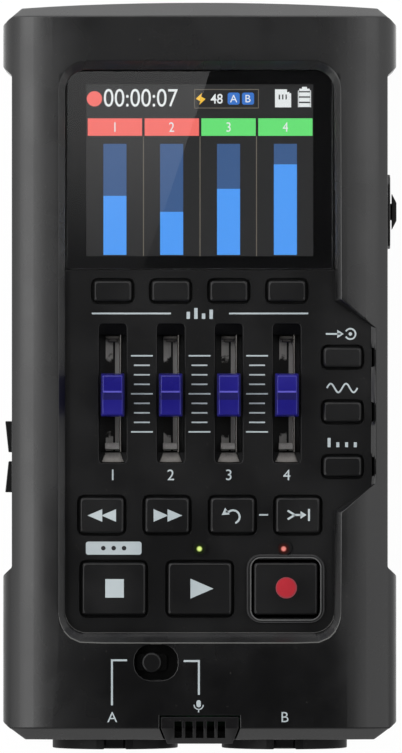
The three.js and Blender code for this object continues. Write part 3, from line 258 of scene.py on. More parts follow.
# Spark-eroded grain: a fine relief, and a slow mottle left by the flow of the plastic.
grain, inside, outside = effect("moulded grain", [("Scale", 3000), ("Mottle Scale", 70)],
                                ["Height", "Mottle"])
feed(grain, noise(grain, inside["Scale"], 2, 0.6), outside["Height"])
feed(grain, even(grain, noise(grain, inside["Mottle Scale"], 3, 0.55), 0.35, 0.65), outside["Mottle"])

# Paler edges, in patches: hands rubbing them, and on the fader caps also a painted highlight.
edge_rubbing_and_highlight, inside, outside = effect("edge rubbing and highlight", [("Reach", 0.0004)], ["Mask"])
rounding = node(edge_rubbing_and_highlight, "Bevel", samples=4, Radius=inside["Reach"])
facing = node(edge_rubbing_and_highlight, "NewGeometry")
agree = reckon(edge_rubbing_and_highlight, "DOT_PRODUCT", rounding.outputs["Normal"], facing.outputs["Normal"], kind="VectorMath")
edge_mask = even(edge_rubbing_and_highlight, agree, 0.995, 0.88)
patchy = even(edge_rubbing_and_highlight, noise(edge_rubbing_and_highlight, 260, 4, 0.7), 0.38, 0.62, 0.35)
feed(edge_rubbing_and_highlight, reckon(edge_rubbing_and_highlight, "MULTIPLY", edge_mask, patchy), outside["Mask"])

# Dust: a few pale specks, only where a face looks up.
dust, inside, outside = effect("settled dust", [("Amount", 1)], ["Mask"])
facing = node(dust, "NewGeometry").outputs["Normal"]
upward = even(dust, node(dust, "SeparateXYZ", Vector=facing).outputs["Z"], 0.5, 0.95)
settled = reckon(dust, "MULTIPLY", even(dust, noise(dust, 1500, 2, 0.5), 0.68, 0.78), upward)
feed(dust, reckon(dust, "MULTIPLY", settled, inside["Amount"]), outside["Mask"])


def placed_group(tree, group, **values):
    """The outputs of one of the effects, placed in a material with its own values."""
    return node(tree, "Group", node_tree=group, **values).outputs


def shade(colour, times):
    """A colour made lighter or darker."""
    return tuple(min(1, channel * times) for channel in colour[:3]) + (1,)


def srgb(red, green, blue):
    """A colour as it is seen, from 0 to 255, turned into light."""
    return tuple(((c / 255 + 0.055) / 1.055) ** 2.4 if c > 10 else c / 255 / 12.92
                 for c in (red, green, blue)) + (1,)


def mixed(tree, factor, first, second):
    """A blend of two colours, each a fixed colour or an output."""
    blend = node(tree, "Mix", data_type="RGBA")
    for place, value in ((0, factor), (6, first), (7, second)):
        feed(tree, value, blend.inputs[place])
    return blend.outputs[2]


def tint(tree, surface, factor, first, second, socket="Base Color"):
    """Gives a surface a blend of two colours."""
    feed(tree, mixed(tree, factor, first, second), surface.inputs[socket])


def vary_roughness(tree, surface, texture, low, high):
    """Lets a texture move a surface's roughness between two values."""
    feed(tree, even(tree, texture, to_min=low, to_max=high), surface.inputs["Roughness"])


def plastic(title, colour, roughness, relief_scale=3000, relief_depth=0.012, rubbing_and_highlight=0.5, dusty=0.15,
            gloss=0.4, reach=0.4):
    """A moulded plastic: grain, mottle, paler edges from rubbing and painted highlight, and a little dust.
    """
    material, tree, surface = material_of(title, Specular_IOR_Level=gloss)
    texture = placed_group(tree, grain, Scale=relief_scale)
    edges = placed_group(tree, edge_rubbing_and_highlight, Reach=reach * MM)
    specks = placed_group(tree, dust, Amount=dusty)
    base = mixed(tree, texture["Mottle"], shade(colour, 0.86), shade(colour, 1.14))
    base = mixed(tree, reckon(tree, "MULTIPLY", edges["Mask"], rubbing_and_highlight), base, shade(colour, 2.2))
    tint(tree, surface, specks["Mask"], base, srgb(150, 146, 138))
    vary_roughness(tree, surface, texture["Mottle"], roughness - 0.05, roughness + 0.05)
    if relief_depth:
        relief = node(tree, "Bump", Strength=1, Distance=relief_depth * MM, Height=texture["Height"])
        feed(tree, relief.outputs["Normal"], surface.inputs["Normal"])
    return material


def clean_plastic(title, colour, roughness, relief_depth=0.003, gloss=0.4):
    """A smooth plastic or paint with no wear and no dust."""
    return plastic(title, colour, roughness, relief_depth=relief_depth, rubbing_and_highlight=0, dusty=0, gloss=gloss)


def merged_copy(name):
    """The plain piece's shape in millimetres, with its points merged and its flat faces whole."""
    shape = bmesh.new()
    shape.from_mesh(frame["nodes"][name].data)
    bmesh.ops.remove_doubles(shape, verts=shape.verts, dist=0.002 * MM)
    bmesh.ops.dissolve_limit(shape, angle_limit=math.radians(0.5), verts=shape.verts, edges=shape.edges)
    bmesh.ops.scale(shape, vec=(1 / MM, 1 / MM, 1 / MM), verts=shape.verts)
    shape.normal_update()
    return shape


def body_of(name):
    """The moving body that a plain piece belongs to."""
    return frame["nodes"][name]["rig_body"]


def finished_piece(title, shape, material, body="body", crease=35, smooth=False):
    """Turns a shape drawn in millimetres into a piece that rides on a body."""
    bmesh.ops.scale(shape, vec=(MM, MM, MM), verts=shape.verts)
    piece = placed(title, shape)
    mesh = piece.data
    if smooth:
        mesh.polygons.foreach_set("use_smooth", [True] * len(mesh.polygons))
        mesh.set_sharp_from_angle(angle=math.radians(crease))
    mesh.materials.append(material)
    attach(piece, body)
    return piece


def rounded_piece(name, title, material, edge, rounds=2, crease=CASE_CREASE, shape=None):
    """A merged copy of a moulded piece with its sharp edges rounded, in place of the plain one."""
    piece = finished_piece(title, shape or merged_copy(name), material, body_of(name), crease, True)
    bevel = piece.modifiers.new("rounded edges", "BEVEL")
    bevel.width = edge * MM
    bevel.segments = rounds
    bevel.limit_method = "ANGLE"
    bevel.angle_limit = math.radians(crease)
    bevel.use_clamp_overlap = False
    bevel.harden_normals = True
    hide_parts(name)
    return piece


case_plastic = plastic("charcoal case plastic", srgb(11, 11, 12), 0.26, relief_depth=0.008,
                       rubbing_and_highlight=0.35, dusty=0.05, gloss=0.6)
rounded_piece("rear_case", "rear_shell", case_plastic, 0.2)

# Front shell: its face is one smooth crown, a flattened oval across the recorder, and the bevel at
# each end follows that crown. The rim of the opening stands up from the panel and then slopes out,
# evenly wide all round. The face is laid out as a fine net and drawn on to the exact surface.
CROWN_HALF, CROWN_FOOT, CROWN_RISE = 36.1, 26.1, 10
CREASES = (65.9, -64.4)
BEVEL_FALL = 5 / 2.6
LIP_LEVEL, LIP_HEIGHT = 33.2, 2.9
RIM_CORNER_X, RIM_CORNERS_Y = 22.0, (53.5, -44.3)


def crown(x):
    """Height of the crown beside the middle line."""
    return CROWN_FOOT + CROWN_RISE * (1 - min(1, abs(x) / CROWN_HALF) ** 4) ** 0.25


def flats():
    """The corner points of the plain piece's crown, from the foot to the middle."""
    shares = [i / 12 for i in range(12)]
    turns = [share * share * (3 - 2 * share) * math.pi / 2 for share in shares]
    return [(CROWN_HALF * math.cos(turn) ** 0.5, CROWN_FOOT + CROWN_RISE * math.sin(turn) ** 0.5)
            for turn in turns] + [(0, CROWN_FOOT + CROWN_RISE)]


def on_flats(at, axis):
    """The plain crown's height at a width, or its width at a height."""
    for one, two in zip(flats(), flats()[1:]):
        if min(one[axis], two[axis]) <= at <= max(one[axis], two[axis]):
            share = (at - one[axis]) / (two[axis] - one[axis])
            return one[1 - axis] + share * (two[1 - axis] - one[1 - axis])
    return 0


def past_crease(y, soft=0):
    """Distance beyond an end crease, eased in over a soft width."""
    past = max(y - CREASES[0], CREASES[1] - y)
    return (past + soft) ** 2 / (4 * soft) if abs(past) < soft else max(0, past)


def rim_place(point, share):
    """Where a point of the opening's wall lies: share 0 over the panel's edge, share 1 on the crown."""
    side, end = (1 if point.x > 0 else -1), (1 if point.y > 0 else -1)
    corner_y = RIM_CORNERS_Y[0 if end > 0 else 1]
    past_x, past_y = abs(point.x) - RIM_CORNER_X, (point.y - corner_y) * end
    if min(past_x, past_y) > -0.1:
        out = Vector((side * max(past_x, 0), end * max(past_y, 0))).normalized()
        start = Vector((side * 20.8, corner_y - 1.2 * end)) + 3.8 * out
    elif past_y > 0:
        out, start = Vector((0, end)), Vector((side * min(abs(point.x), 20.8), corner_y + 2.6 * end))
    else:
        out, start = Vector((side, 0)), Vector((side * 24.6, point.y))
    width = math.hypot(1.25 * out.x, (1.64 if end > 0 else 1.87) * out.y)
    crest = start + width * out
    place = start.lerp(crest, share)
    return Vector((place.x, place.y, crown(crest.x) - width * (1 - share)))


def cut(shape, faces, point, normal):
    """Cuts some faces of a shape along a plane."""
    parts = list({v for f in faces for v in f.verts}) + list({e for f in faces for e in f.edges}) + faces
    bmesh.ops.bisect_plane(shape, geom=parts, dist=0.005, plane_co=point, plane_no=normal)
    shape.normal_update()


def soften(shape, edges, width, segments=2, **more):
    """Rounds some edges of a shape."""
    bmesh.ops.bevel(shape, geom=edges, offset=width, offset_type="OFFSET", affect="EDGES",
                    segments=segments, profile=0.5, material=-1, **more)


def wall_faces(shape):
    """The sloped walls of the opening, without those of the pod for the side keys."""
    found = []
    for face in shape.faces:
        x, y, z = face.calc_center_median()
        sloped = 0.02 < face.normal.z < 0.95 and z > LIP_LEVEL + 0.02
        if sloped and abs(x) < 27 and -50 < y < 60:
            found.append(face)
    return found


shell = merged_copy("front_case")
strays = [e for e in shell.edges if all(abs(abs(v.co.x) - 25.53) < 0.03 for v in e.verts)
          and all(f.normal.z > 0.5 for f in e.link_faces)]
bmesh.ops.dissolve_edges(shell, edges=strays, use_verts=False)
shell.normal_update()
for side in (-1, 1):
    for corner_y, end in zip(RIM_CORNERS_Y, (1, -1)):
        for turn in (11, 34, 56, 79):
            away = Vector((side * math.cos(math.radians(turn)), end * math.sin(math.radians(turn)), 0))
            near = [f for f in wall_faces(shell) if (f.calc_center_median().x * side - RIM_CORNER_X) > -0.5
                    and (f.calc_center_median().y - corner_y) * end > -0.5]
            cut(shell, near, (side * RIM_CORNER_X, corner_y, 0), (-away.y, away.x, 0))
rim = []
for point in {v for f in wall_faces(shell) for v in f.verts}:
    x, y, z = point.co
    if x > 24.7 and -37.5 < y < 18:
        continue
    rim.append(point)
    if abs(z - crown(x)) < 0.06:
        point.co = rim_place(point.co, 1)
    elif abs(z - LIP_LEVEL) < 0.01:
        point.co.xy = rim_place(point.co, 0).xy
    else:
        share = (z - LIP_LEVEL) / LIP_HEIGHT
        point.co = rim_place(point.co, 0 if share < 0.45 else 1 / 3 if share < 0.65 else 2 / 3)
bmesh.ops.remove_doubles(shell, verts=rim, dist=0.12)
shell.normal_update()
edges = [e for e in shell.edges if len(e.link_faces) == 2
         and e.calc_face_angle() > math.radians(CASE_CREASE)
         and not (abs(e.verts[0].co.y) > 60 and all(f.normal.z > 0.3 for f in e.link_faces))]
soften(shell, edges, 0.13, clamp_overlap=False)
shell.normal_update()
cuts = [(0, -34.2 + 1.2 * i) for i in range(58)] + [(1, -66 + 4.05 * i) for i in range(33)]
cuts += [(1, crease + step) for crease in CREASES for step in (-0.2, -0.1, 0, 0.1, 0.2)]
cuts += [(0, side * (32.4 + 0.4 * i)) for side in (-1, 1) for i in range(5)]
cuts += [(2, level) for level in (28.7, 30.1, 30.6, 31.4, 31.8, 32.1)]
for axis, at in cuts:
    crossed = [f for f in shell.faces if f.normal.z > (0.25, 0.25, 0.1)[axis]
               and f.calc_center_median().z > 27
               and min(v.co[axis] for v in f.verts) < at < max(v.co[axis] for v in f.verts)
               and (axis < 2 or abs(f.calc_center_median().x) > 34.6)]
    cut(shell, crossed, [at if i == axis else 0 for i in range(3)], [i == axis for i in range(3)])
for point in shell.verts:
    x, y, z = point.co
    if abs(x) < 34.6:
        plain = min(on_flats(abs(x), 0), crown(0) - BEVEL_FALL * past_crease(y))
        if -0.05 < plain - z < 0.26 and z > 28:
            point.co.z += crown(x) - BEVEL_FALL * past_crease(y, 0.2) - plain
    elif CROWN_FOOT < z < 33 and abs(on_flats(z, 1) - abs(x)) < 0.2:
        true = CROWN_HALF * (1 - ((z - CROWN_FOOT) / CROWN_RISE) ** 4) ** 0.25
        point.co.x += math.copysign(true - on_flats(z, 1), x)
front_shell = finished_piece("front_shell", shell, case_plastic, body_of("front_case"), 50, True)
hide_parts("front_case")
weighted = front_shell.modifiers.new("even shading", "WEIGHTED_NORMAL")
weighted.keep_sharp = True
# A matte black that stands for shade: painted shade in the selector's oval, under its button, and in the
# seam between the shells.
painted_shade_black = clean_plastic("matte painted shade black", srgb(4, 4, 4), 0.8, 0.004, gloss=0.1)
painted_rim_highlight = plastic("painted rim highlight", srgb(84, 84, 82), 0.35, relief_depth=0.003, rubbing_and_highlight=0)
front_shell.data.materials.append(painted_shade_black)
front_shell.data.materials.append(painted_rim_highlight)
# The faces in the selector's sunk oval are painted black as shade.
for face in front_shell.data.polygons:
    x, y, z = face.center / MM
    if abs(x + 8) < 3.9 and abs(y + 52.36) < 3.2 and 33 < z < 35.9:
        face.material_index = 1
    # Two bands along the lower wall of the opening, at its crest and at its inner edge, are painted paler:
    # painted highlights.
    away = Vector((max(abs(x) - 20.8, 0), max(-43.1 - y, 0))).length - 3.8
    if y < -43.5 and (1.2 < away < 2.1 and 0.78 < face.normal.z < 0.98
                      or -0.15 < away < 0.3 and 0.1 < face.normal.z < 0.62 and z > 33.6):
        face.material_index = 2

# Seam strip: a thin black strip between the two shells, set back from their edges; its black
# is painted shade for the shadow in the seam.
REAR_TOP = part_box("rear_case")[1].z / MM
SEAM_INSET, SEAM_HEIGHT, SEAM_LIFT = 0.3, 0.22, 0.04


def thicken(shape, faces, across):
    """Draws some faces out by a vector, closes the sides and gives back the points drawn out."""
    drawn = bmesh.ops.extrude_face_region(shape, geom=faces)
    tops = [v for v in drawn["geom"] if isinstance(v, bmesh.types.BMVert)]
    bmesh.ops.translate(shape, vec=across, verts=tops)
    bmesh.ops.recalc_face_normals(shape, faces=list({f for v in tops for f in v.link_faces}.union(faces)))
    return tops


seam = merged_copy("rear_case")
others = [f for f in seam.faces if f.normal.z < 0.9 or abs(f.calc_center_median().z - REAR_TOP) > 0.02]
bmesh.ops.delete(seam, geom=others, context="FACES")
inset = bmesh.ops.inset_region(seam, faces=seam.faces[:], thickness=SEAM_INSET, use_even_offset=True)
bmesh.ops.delete(seam, geom=inset["faces"], context="FACES")
thicken(seam, seam.faces[:], (0, 0, SEAM_HEIGHT))
bmesh.ops.translate(seam, vec=(0, 0, SEAM_LIFT), verts=seam.verts)
finished_piece("seam_shade_strip", seam, painted_shade_black)

# Front panel: a black ABS plate with a softer, finer grain, clipped under the lip of the front
# shell. A raised guard round the record key is moulded on it.
panel_plastic = plastic("black panel plastic", srgb(11, 11, 12), 0.34, relief_scale=5000,
                        relief_depth=0.006, rubbing_and_highlight=0.3, dusty=0.04)
GUARD_X, GUARD_Y = 15.75, -38.93
plate = merged_copy("front_panel")
for point in plate.verts:
    away = Vector((abs(point.co.x - GUARD_X) - 4.825, abs(point.co.y - GUARD_Y) - 3.77))
    away = Vector((max(away.x, 0), max(away.y, 0)))
    for reach, draw_x, draw_y in ((2, 0.45, 0.1), (2.75, 0.55, 0.32)):
        if abs(away.length - reach) < 0.05 and point.co.z > 32.8:
            away.normalize()
            point.co.x -= math.copysign(draw_x * away.x, point.co.x - GUARD_X)
            point.co.y -= math.copysign(draw_y * away.y, point.co.y - GUARD_Y)
rounded_piece("front_panel", "control_panel", panel_plastic, 0.13, shape=plate)

# Printed marks: pale grey-blue pad-printing ink on the panel and the case, a hair proud of the
# plastic. Lines, scales, numbers and small signs only.
INK = 0.03
PANEL_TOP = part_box("stop_key")[1].z / MM - 1.1
print_ink, tree, surface = material_of("pale printing ink", Specular_IOR_Level=0.3)
texture = placed_group(tree, grain, Scale=7000)
tint(tree, surface, texture["Mottle"], srgb(168, 178, 182), srgb(184, 193, 196))
vary_roughness(tree, surface, texture["Height"], 0.5, 0.62)


def slab(shape, x, y, width, length, level, thickness=INK, corner=0):
    """A flat oblong lying on a level, with round corners if asked."""
    at = Matrix.Translation((x, y, level + thickness / 2))
    made = bmesh.ops.create_cube(shape, size=1, matrix=at @ Matrix.Diagonal((width, length, thickness, 1)))
    if corner:
        upright = [e for e in {e for v in made["verts"] for e in v.link_edges}
                   if abs(e.verts[0].co.z - e.verts[1].co.z) > thickness / 2]
        soften(shape, upright, corner, segments=5)


def bar(shape, radius, length, middle, sides=20):
    """A round bar, upright unless the matrix of its middle turns it."""
    bmesh.ops.create_cone(shape, cap_ends=True, segments=sides, radius1=radius, radius2=radius,
                          depth=length, matrix=middle)


def disc(shape, x, y, radius, level, thickness=INK):
    """A flat disc lying on a level."""
    bar(shape, radius, thickness, Matrix.Translation((x, y, level + thickness / 2)), 40)


def line(shape, points, width, level):
    """A drawn line of even width through a row of points."""
    points = [Vector(point) for point in points]
    steps = [(after - before).normalized() for before, after in zip(points, points[1:])]
    rungs = []
    for point, before, after in zip(points, steps[:1] + steps, steps + steps[-1:]):
        along = (before + after).normalized()
        across = Vector((-along.y, along.x)) * width / 2 / along.dot(before)
        rungs.append([shape.verts.new((*(point + side * across), level)) for side in (-1, 1)])
    faces = [shape.faces.new([*start, *reversed(end)]) for start, end in zip(rungs, rungs[1:])]
    thicken(shape, faces, (0, 0, INK))


def drawn(draw, *values, **more):
    """A new shape with one thing drawn on it."""
    shape = bmesh.new()
    draw(shape, *values, **more)
    return shape


def arc(x, y, radius, start, end, steps=14):
    """Points along an arc, with its angles in degrees."""
    turns = [math.radians(start + (end - start) * i / steps) for i in range(steps + 1)]
    return [(x + radius * math.cos(turn), y + radius * math.sin(turn)) for turn in turns]


def arrow_head(shape, x, y, width, length, degrees, level):
    """A flat arrow head about its middle, pointing at an angle."""
    at = Matrix.Translation((x, y, level)) @ Matrix.Rotation(math.radians(degrees), 4, "Z")
    corners = [(length / 2, 0, 0), (-length / 2, width / 2, 0), (-length / 2, -width / 2, 0)]
    head = shape.faces.new([shape.verts.new(at @ Vector(corner)) for corner in corners])
    thicken(shape, [head], (0, 0, INK))


def numerals(shape, text, x, y, tall, level, narrow=1, bold=0):
    """Plain numbers, centred on a point."""
    curve = bpy.data.curves.new("numerals", "FONT")
    curve.body = text
    curve.extrude = 0.01
    curve.offset = bold
    carrier = placed("numerals", curve)
    bpy.context.view_layer.update()
    outline = bpy.data.meshes.new_from_object(carrier.evaluated_get(bpy.context.evaluated_depsgraph_get()))
    lows = [min(v.co[i] for v in outline.vertices) for i in range(3)]
    highs = [max(v.co[i] for v in outline.vertices) for i in range(3)]
    size = tall / (highs[1] - lows[1])
    middle = Matrix.Translation([-(low + high) / 2 for low, high in zip(lows, highs)])
    flat = Matrix.Diagonal((size * narrow, size, INK / (highs[2] - lows[2]), 1))
    outline.transform(Matrix.Translation((x, y, level + INK / 2)) @ flat @ middle)
    shape.from_mesh(outline)
    bpy.data.objects.remove(carrier)
    bpy.data.curves.remove(curve)
    bpy.data.meshes.remove(outline)


# The guard's two edges carry pale lines: painted highlights along its inner and outer edge.
GUARD_TOP = PANEL_TOP + 0.7
GUARD_HIGHLIGHTS = (("inner", 6.43, 5.73, 1.9, 0.2, srgb(92, 92, 92)),
               ("outer", 6.96, 6.14, 2.5, 0.16, srgb(56, 56, 57)))
for title, half_x, half_y, corner, wide, colour in GUARD_HIGHLIGHTS:
    middle_right = (GUARD_X + half_x, GUARD_Y)
    edge = [middle_right]
    for sign_x, sign_y, start in ((1, 1, 0), (-1, 1, 90), (-1, -1, 180), (1, -1, 270)):
        edge += arc(GUARD_X + sign_x * (half_x - corner), GUARD_Y + sign_y * (half_y - corner), corner,
                    start, start + 90, 8)
    highlight_line = drawn(line, edge + [middle_right], wide, GUARD_TOP - 0.02)
    highlight_paint = clean_plastic("painted guard highlight " + title, colour, 0.35)
    finished_piece("guard_highlight_" + title, highlight_line, highlight_paint)

CHANNELS = [(-1.5 + i) * 10.63 for i in range(4)]
TRACKS_Y, SCALE_TOP, SCALE_PITCH = 11.5, 3.75, 1.743
marks = bmesh.new()
for x in (-12.52, 12.62):
    slab(marks, x, TRACKS_Y, 14.5, 0.3, PANEL_TOP)
for offset, tall in ((-2.1, 1.3), (-0.7, 2.0), (0.7, 1.0), (2.1, 1.7)):
    slab(marks, offset, TRACKS_Y - 1 + tall / 2, 0.62, tall, PANEL_TOP)
for x in (-10.6, -0.05, 10.5):
    for i in range(9):
        slab(marks, x, SCALE_TOP - SCALE_PITCH * i, 4.0 if i % 4 == 0 else 2.9, 0.27, PANEL_TOP)
for number, x in zip("1234", CHANNELS):
    numerals(marks, number, x, -18.07, 1.95, PANEL_TOP)
slab(marks, 11.7, -25.4, 1.65, 0.3, PANEL_TOP)

# An arrow into a socket, a wave and four beats stand over the three side keys.
SIDE_X, INPUT_Y, WAVE_Y, BEATS_Y = 26.1, 7.75, -2.16, -13.0
line(marks, [(SIDE_X - 3.0, INPUT_Y), (SIDE_X - 0.3, INPUT_Y)], 0.3, PANEL_TOP)
arrow_head(marks, SIDE_X - 0.3, INPUT_Y, 1.5, 1.2, 0, PANEL_TOP)
line(marks, arc(SIDE_X + 1.5, INPUT_Y, 0.95, 150, -150, 24), 0.3, PANEL_TOP)
disc(marks, SIDE_X + 1.5, INPUT_Y, 0.32, PANEL_TOP)
wave = [(SIDE_X - 2.8 + 5.6 * i / 40, WAVE_Y + 0.8 * math.sin(i / 40 * 4 * math.pi)) for i in range(41)]
line(marks, wave, 0.3, PANEL_TOP)
for i, tall in enumerate((1.7, 0.9, 0.9, 0.9)):
    slab(marks, SIDE_X - 2.4 + 1.6 * i, BEATS_Y + tall / 2, 0.55, tall, PANEL_TOP)

# The light box under the rewind key carries three dark dots.
BOX_X, BOX_Y = -15.77, -31.5
slab(marks, BOX_X, BOX_Y, 10.2, 2.4, PANEL_TOP, corner=0.45)
finished_piece("panel_print", marks, print_ink)
dark_marks = bmesh.new()
for offset in (-1.9, 0, 1.9):
    disc(dark_marks, BOX_X + offset, BOX_Y, 0.42, PANEL_TOP + INK, thickness=INK / 2)
ink_dark = clean_plastic("dark printing ink", srgb(26, 27, 30), 0.5, 0.012)
finished_piece("option_dots", dark_marks, ink_dark)

# The case's marks are drawn flat and then dropped on to the crown.
case_marks = bmesh.new()
line(case_marks, [(-13.3, -51.96), (-16.06, -51.96), (-16.06, -60.2)], 0.36, 0)
line(case_marks, [(-2.95, -52.1), (-0.16, -52.1), (-0.16, -58.3)], 0.36, 0)
for text, x in (("A", -16.0), ("B", 15.6)):
    numerals(case_marks, text, x, -62.35, 1.85, 0)
slab(case_marks, -0.2, -59.9, 0.8, 1.3, 0, corner=0.38)
line(case_marks, arc(-0.2, -60.1, 0.85, 180, 360, 10), 0.2, 0)
line(case_marks, [(-0.2, -60.95), (-0.2, -61.5)], 0.22, 0)
face_tree = BVHTree.FromObject(front_shell, bpy.context.evaluated_depsgraph_get())
bmesh.ops.subdivide_edges(case_marks, edges=[e for e in case_marks.edges if e.calc_length() > 0.8], cuts=2)
for corner in case_marks.verts:
    below = face_tree.ray_cast(Vector((corner.co.x * MM, corner.co.y * MM, 0.05)), Vector((0, 0, -1)))[0]
    corner.co.z += below.z / MM
finished_piece("case_print", case_marks, print_ink)

# Display: a clear acrylic window with polished edges, its border blacked out from behind, over a
# small colour liquid-crystal screen that shows four level meters.
SCREEN_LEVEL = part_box("display_module")[1].z / MM + 0.02
SCREEN_Y, SCREEN_WIDTH, SCREEN_LENGTH = 37.75, 41.6, 31.5
window_acrylic, tree, surface = material_of("clear window acrylic", Base_Color=(0.97, 0.975, 0.98, 1),
                                            Transmission_Weight=1, IOR=1.49)
smears = placed_group(tree, grain, Scale=900, Mottle_Scale=120)
vary_roughness(tree, surface, smears["Mottle"], 0, 0.002)
rounded_piece("display_window", "window_glass", window_acrylic, 0.12)

border_low, border_high = (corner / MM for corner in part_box("display_window"))
BORDER_LEVEL, BORDER_THICKNESS = border_low.z - 0.1, 0.05
border = bmesh.new()
side_band = (border_high.x - border_low.x - SCREEN_WIDTH) / 2
top_band = border_high.y - SCREEN_Y - SCREEN_LENGTH / 2
low_band = SCREEN_Y - SCREEN_LENGTH / 2 - border_low.y
for side in (-1, 1):
    slab(border, side * (SCREEN_WIDTH + side_band) / 2, (border_low.y + border_high.y) / 2, side_band,
         border_high.y - border_low.y, BORDER_LEVEL, BORDER_THICKNESS)
for y, band in ((border_high.y - top_band / 2, top_band), (border_low.y + low_band / 2, low_band)):
    slab(border, 0, y, SCREEN_WIDTH, band, BORDER_LEVEL, BORDER_THICKNESS)
border_ink = clean_plastic("window border ink", srgb(4, 4, 6), 0.4, 0, gloss=0.1)
finished_piece("window_border", border, border_ink)

# The screen's dots: a fine square lattice of dark lines between the lit points.
DOT_PITCH = 0.13 * MM
lattice, inside, outside = effect("screen dots", [("Pitch", DOT_PITCH)], ["Mask"])
places = axes(lattice)
cells = [reckon(lattice, "DIVIDE", places[axis], inside["Pitch"]) for axis in "XY"]
phases = [reckon(lattice, "FRACT", cell) for cell in cells]
lit = [reckon(lattice, "GREATER_THAN", phase, 0.14) for phase in phases]
feed(lattice, reckon(lattice, "MULTIPLY", *lit), outside["Mask"])


def screen_layer(title, colour, level, oblongs=(), shape=None, corner=0):
    """One layer of the lit screen in one colour: some oblongs, added to what is drawn already."""
    shape = shape or bmesh.new()
    for oblong in oblongs:
        slab(shape, *oblong, level, corner=corner)
    material, tree, surface = material_of("screen " + title, Base_Color=(0.004, 0.004, 0.005, 1),
                                          Roughness=0.35, Specular_IOR_Level=0.2, Emission_Strength=1.06)
    dots = placed_group(tree, lattice, Pitch=DOT_PITCH)
    tint(tree, surface, dots["Mask"], shade(colour, 0.72), shade(colour, 1.05), "Emission Color")
    finished_piece("screen_" + title, shape, material)


LAYER = 0.05
ON_SCREEN, ON_BARS = SCREEN_LEVEL + LAYER, SCREEN_LEVEL + 2 * LAYER
METERS = [-15.55, -5.15, 5.28, 15.7]
METER_TOP, METER_FOOT, METER_WIDTH = 42.6, 22.25, 4.22
LEVELS = [33.07, 30.14, 34.36, 38.85]
STATUS_Y, TAG_Y = 50.87, 45.68
BADGES, BADGES_Y = (("A", 6.22), ("B", 8.85)), 50.9
FRAMED_X, FRAMED_WIDTH, FRAMED_HALF = 4.91, 11.7, 1.7
CELL_X = 19.2
screen_layer("ground", srgb(42, 42, 42), SCREEN_LEVEL, [(0, SCREEN_Y, SCREEN_WIDTH + 1, SCREEN_LENGTH + 1)])
fine_lines = [(x, 33.0, 0.14, 22.0) for x in (-10.32, 0.05, 10.41)]
for side in (-1, 1):
    fine_lines.append((FRAMED_X, STATUS_Y + side * FRAMED_HALF, FRAMED_WIDTH, 0.12))
    fine_lines.append((FRAMED_X + side * FRAMED_WIDTH / 2, STATUS_Y, 0.12, 3.5))
screen_layer("lines", srgb(118, 112, 100), ON_SCREEN, fine_lines)
red = drawn(disc, -19.3, STATUS_Y, 1.4, ON_SCREEN)
tags = [(x, TAG_Y, 9.95, 3.2) for x in (METERS[0], METERS[1] + 0.03, *METERS[2:])]
screen_layer("red", srgb(250, 116, 108), ON_SCREEN, tags[:2], red)
screen_layer("green", srgb(108, 230, 122), ON_SCREEN, tags[2:])
for title, colour, tops, level in (("dim_blue", srgb(64, 94, 140), [METER_TOP] * 4, ON_SCREEN),
                                   ("bright_blue", srgb(84, 160, 255), LEVELS, ON_BARS)):
    bars = [(x, (top + METER_FOOT) / 2, METER_WIDTH, top - METER_FOOT) for x, top in zip(METERS, tops)]
    screen_layer(title, colour, level, bars)
screen_layer("badges", srgb(62, 120, 205), ON_SCREEN, [(x, BADGES_Y, 2.2, 2.2) for text, x in BADGES],
             corner=0.4)
white = bmesh.new()
numerals(white, "00:00:07", -10.8, 51.05, 3.25, ON_SCREEN, narrow=0.86)
numerals(white, "48", 3.1, STATUS_Y, 1.8, ON_SCREEN, narrow=0.9, bold=0.012)
for x, text in zip(METERS, "1234"):
    numerals(white, text, x, TAG_Y, 1.75, ON_BARS, narrow=0.85)
for text, x in BADGES:
    numerals(white, text, x, BADGES_Y, 1.35, ON_BARS)
arrow_head(white, 16.1, 51.8, 1.35, 1.0, 45, ON_SCREEN)
signs = [(15.28, 50.6, 2.95, 2.6), (14.9, 51.6, 2.2, 2.0)]
signs += [(CELL_X, 52.5, 1.9, 0.45), (CELL_X, 52.85, 0.9, 0.4)]
signs += [(CELL_X, 49.72 + 0.98 * i, 2.0, 0.72) for i in range(3)]
signs += [(CELL_X + side * 1.12, 50.85, 0.14, 3.1) for side in (-1, 1)]
screen_layer("white", srgb(236, 240, 240), ON_SCREEN, signs, white)
card_slots = [(14.6 + 0.62 * i, 51.2, 0.25, 0.9) for i in range(3)]
screen_layer("card_slots", srgb(60, 62, 62), ON_BARS, card_slots)
spark = drawn(arrow_head, 0.05, 51.3, 0.9, 1.5, 60, ON_SCREEN)
arrow_head(spark, 0.3, 50.4, 0.9, 1.5, 240, ON_SCREEN)
screen_layer("spark", srgb(250, 200, 70), ON_SCREEN, shape=spark)

# The display's module lies in a tray of drawn steel.
module_steel, tree, surface = material_of("drawn steel", Metallic=1)
along = node(tree, "Mapping", Vector=place_on(tree), Scale=(5000, 250, 5000)).outputs["Vector"]
brush = node(tree, "TexNoise", Vector=along, Scale=1, Detail=3).outputs["Fac"]
tint(tree, surface, brush, srgb(132, 128, 124), srgb(186, 182, 178))
vary_roughness(tree, surface, brush, 0.28, 0.5)
relief = node(tree, "Bump", Strength=0.6, Distance=0.004 * MM, Height=brush)
feed(tree, relief.outputs["Normal"], surface.inputs["Normal"])
rounded_piece("display_module", "screen_module", module_steel, 0.2)

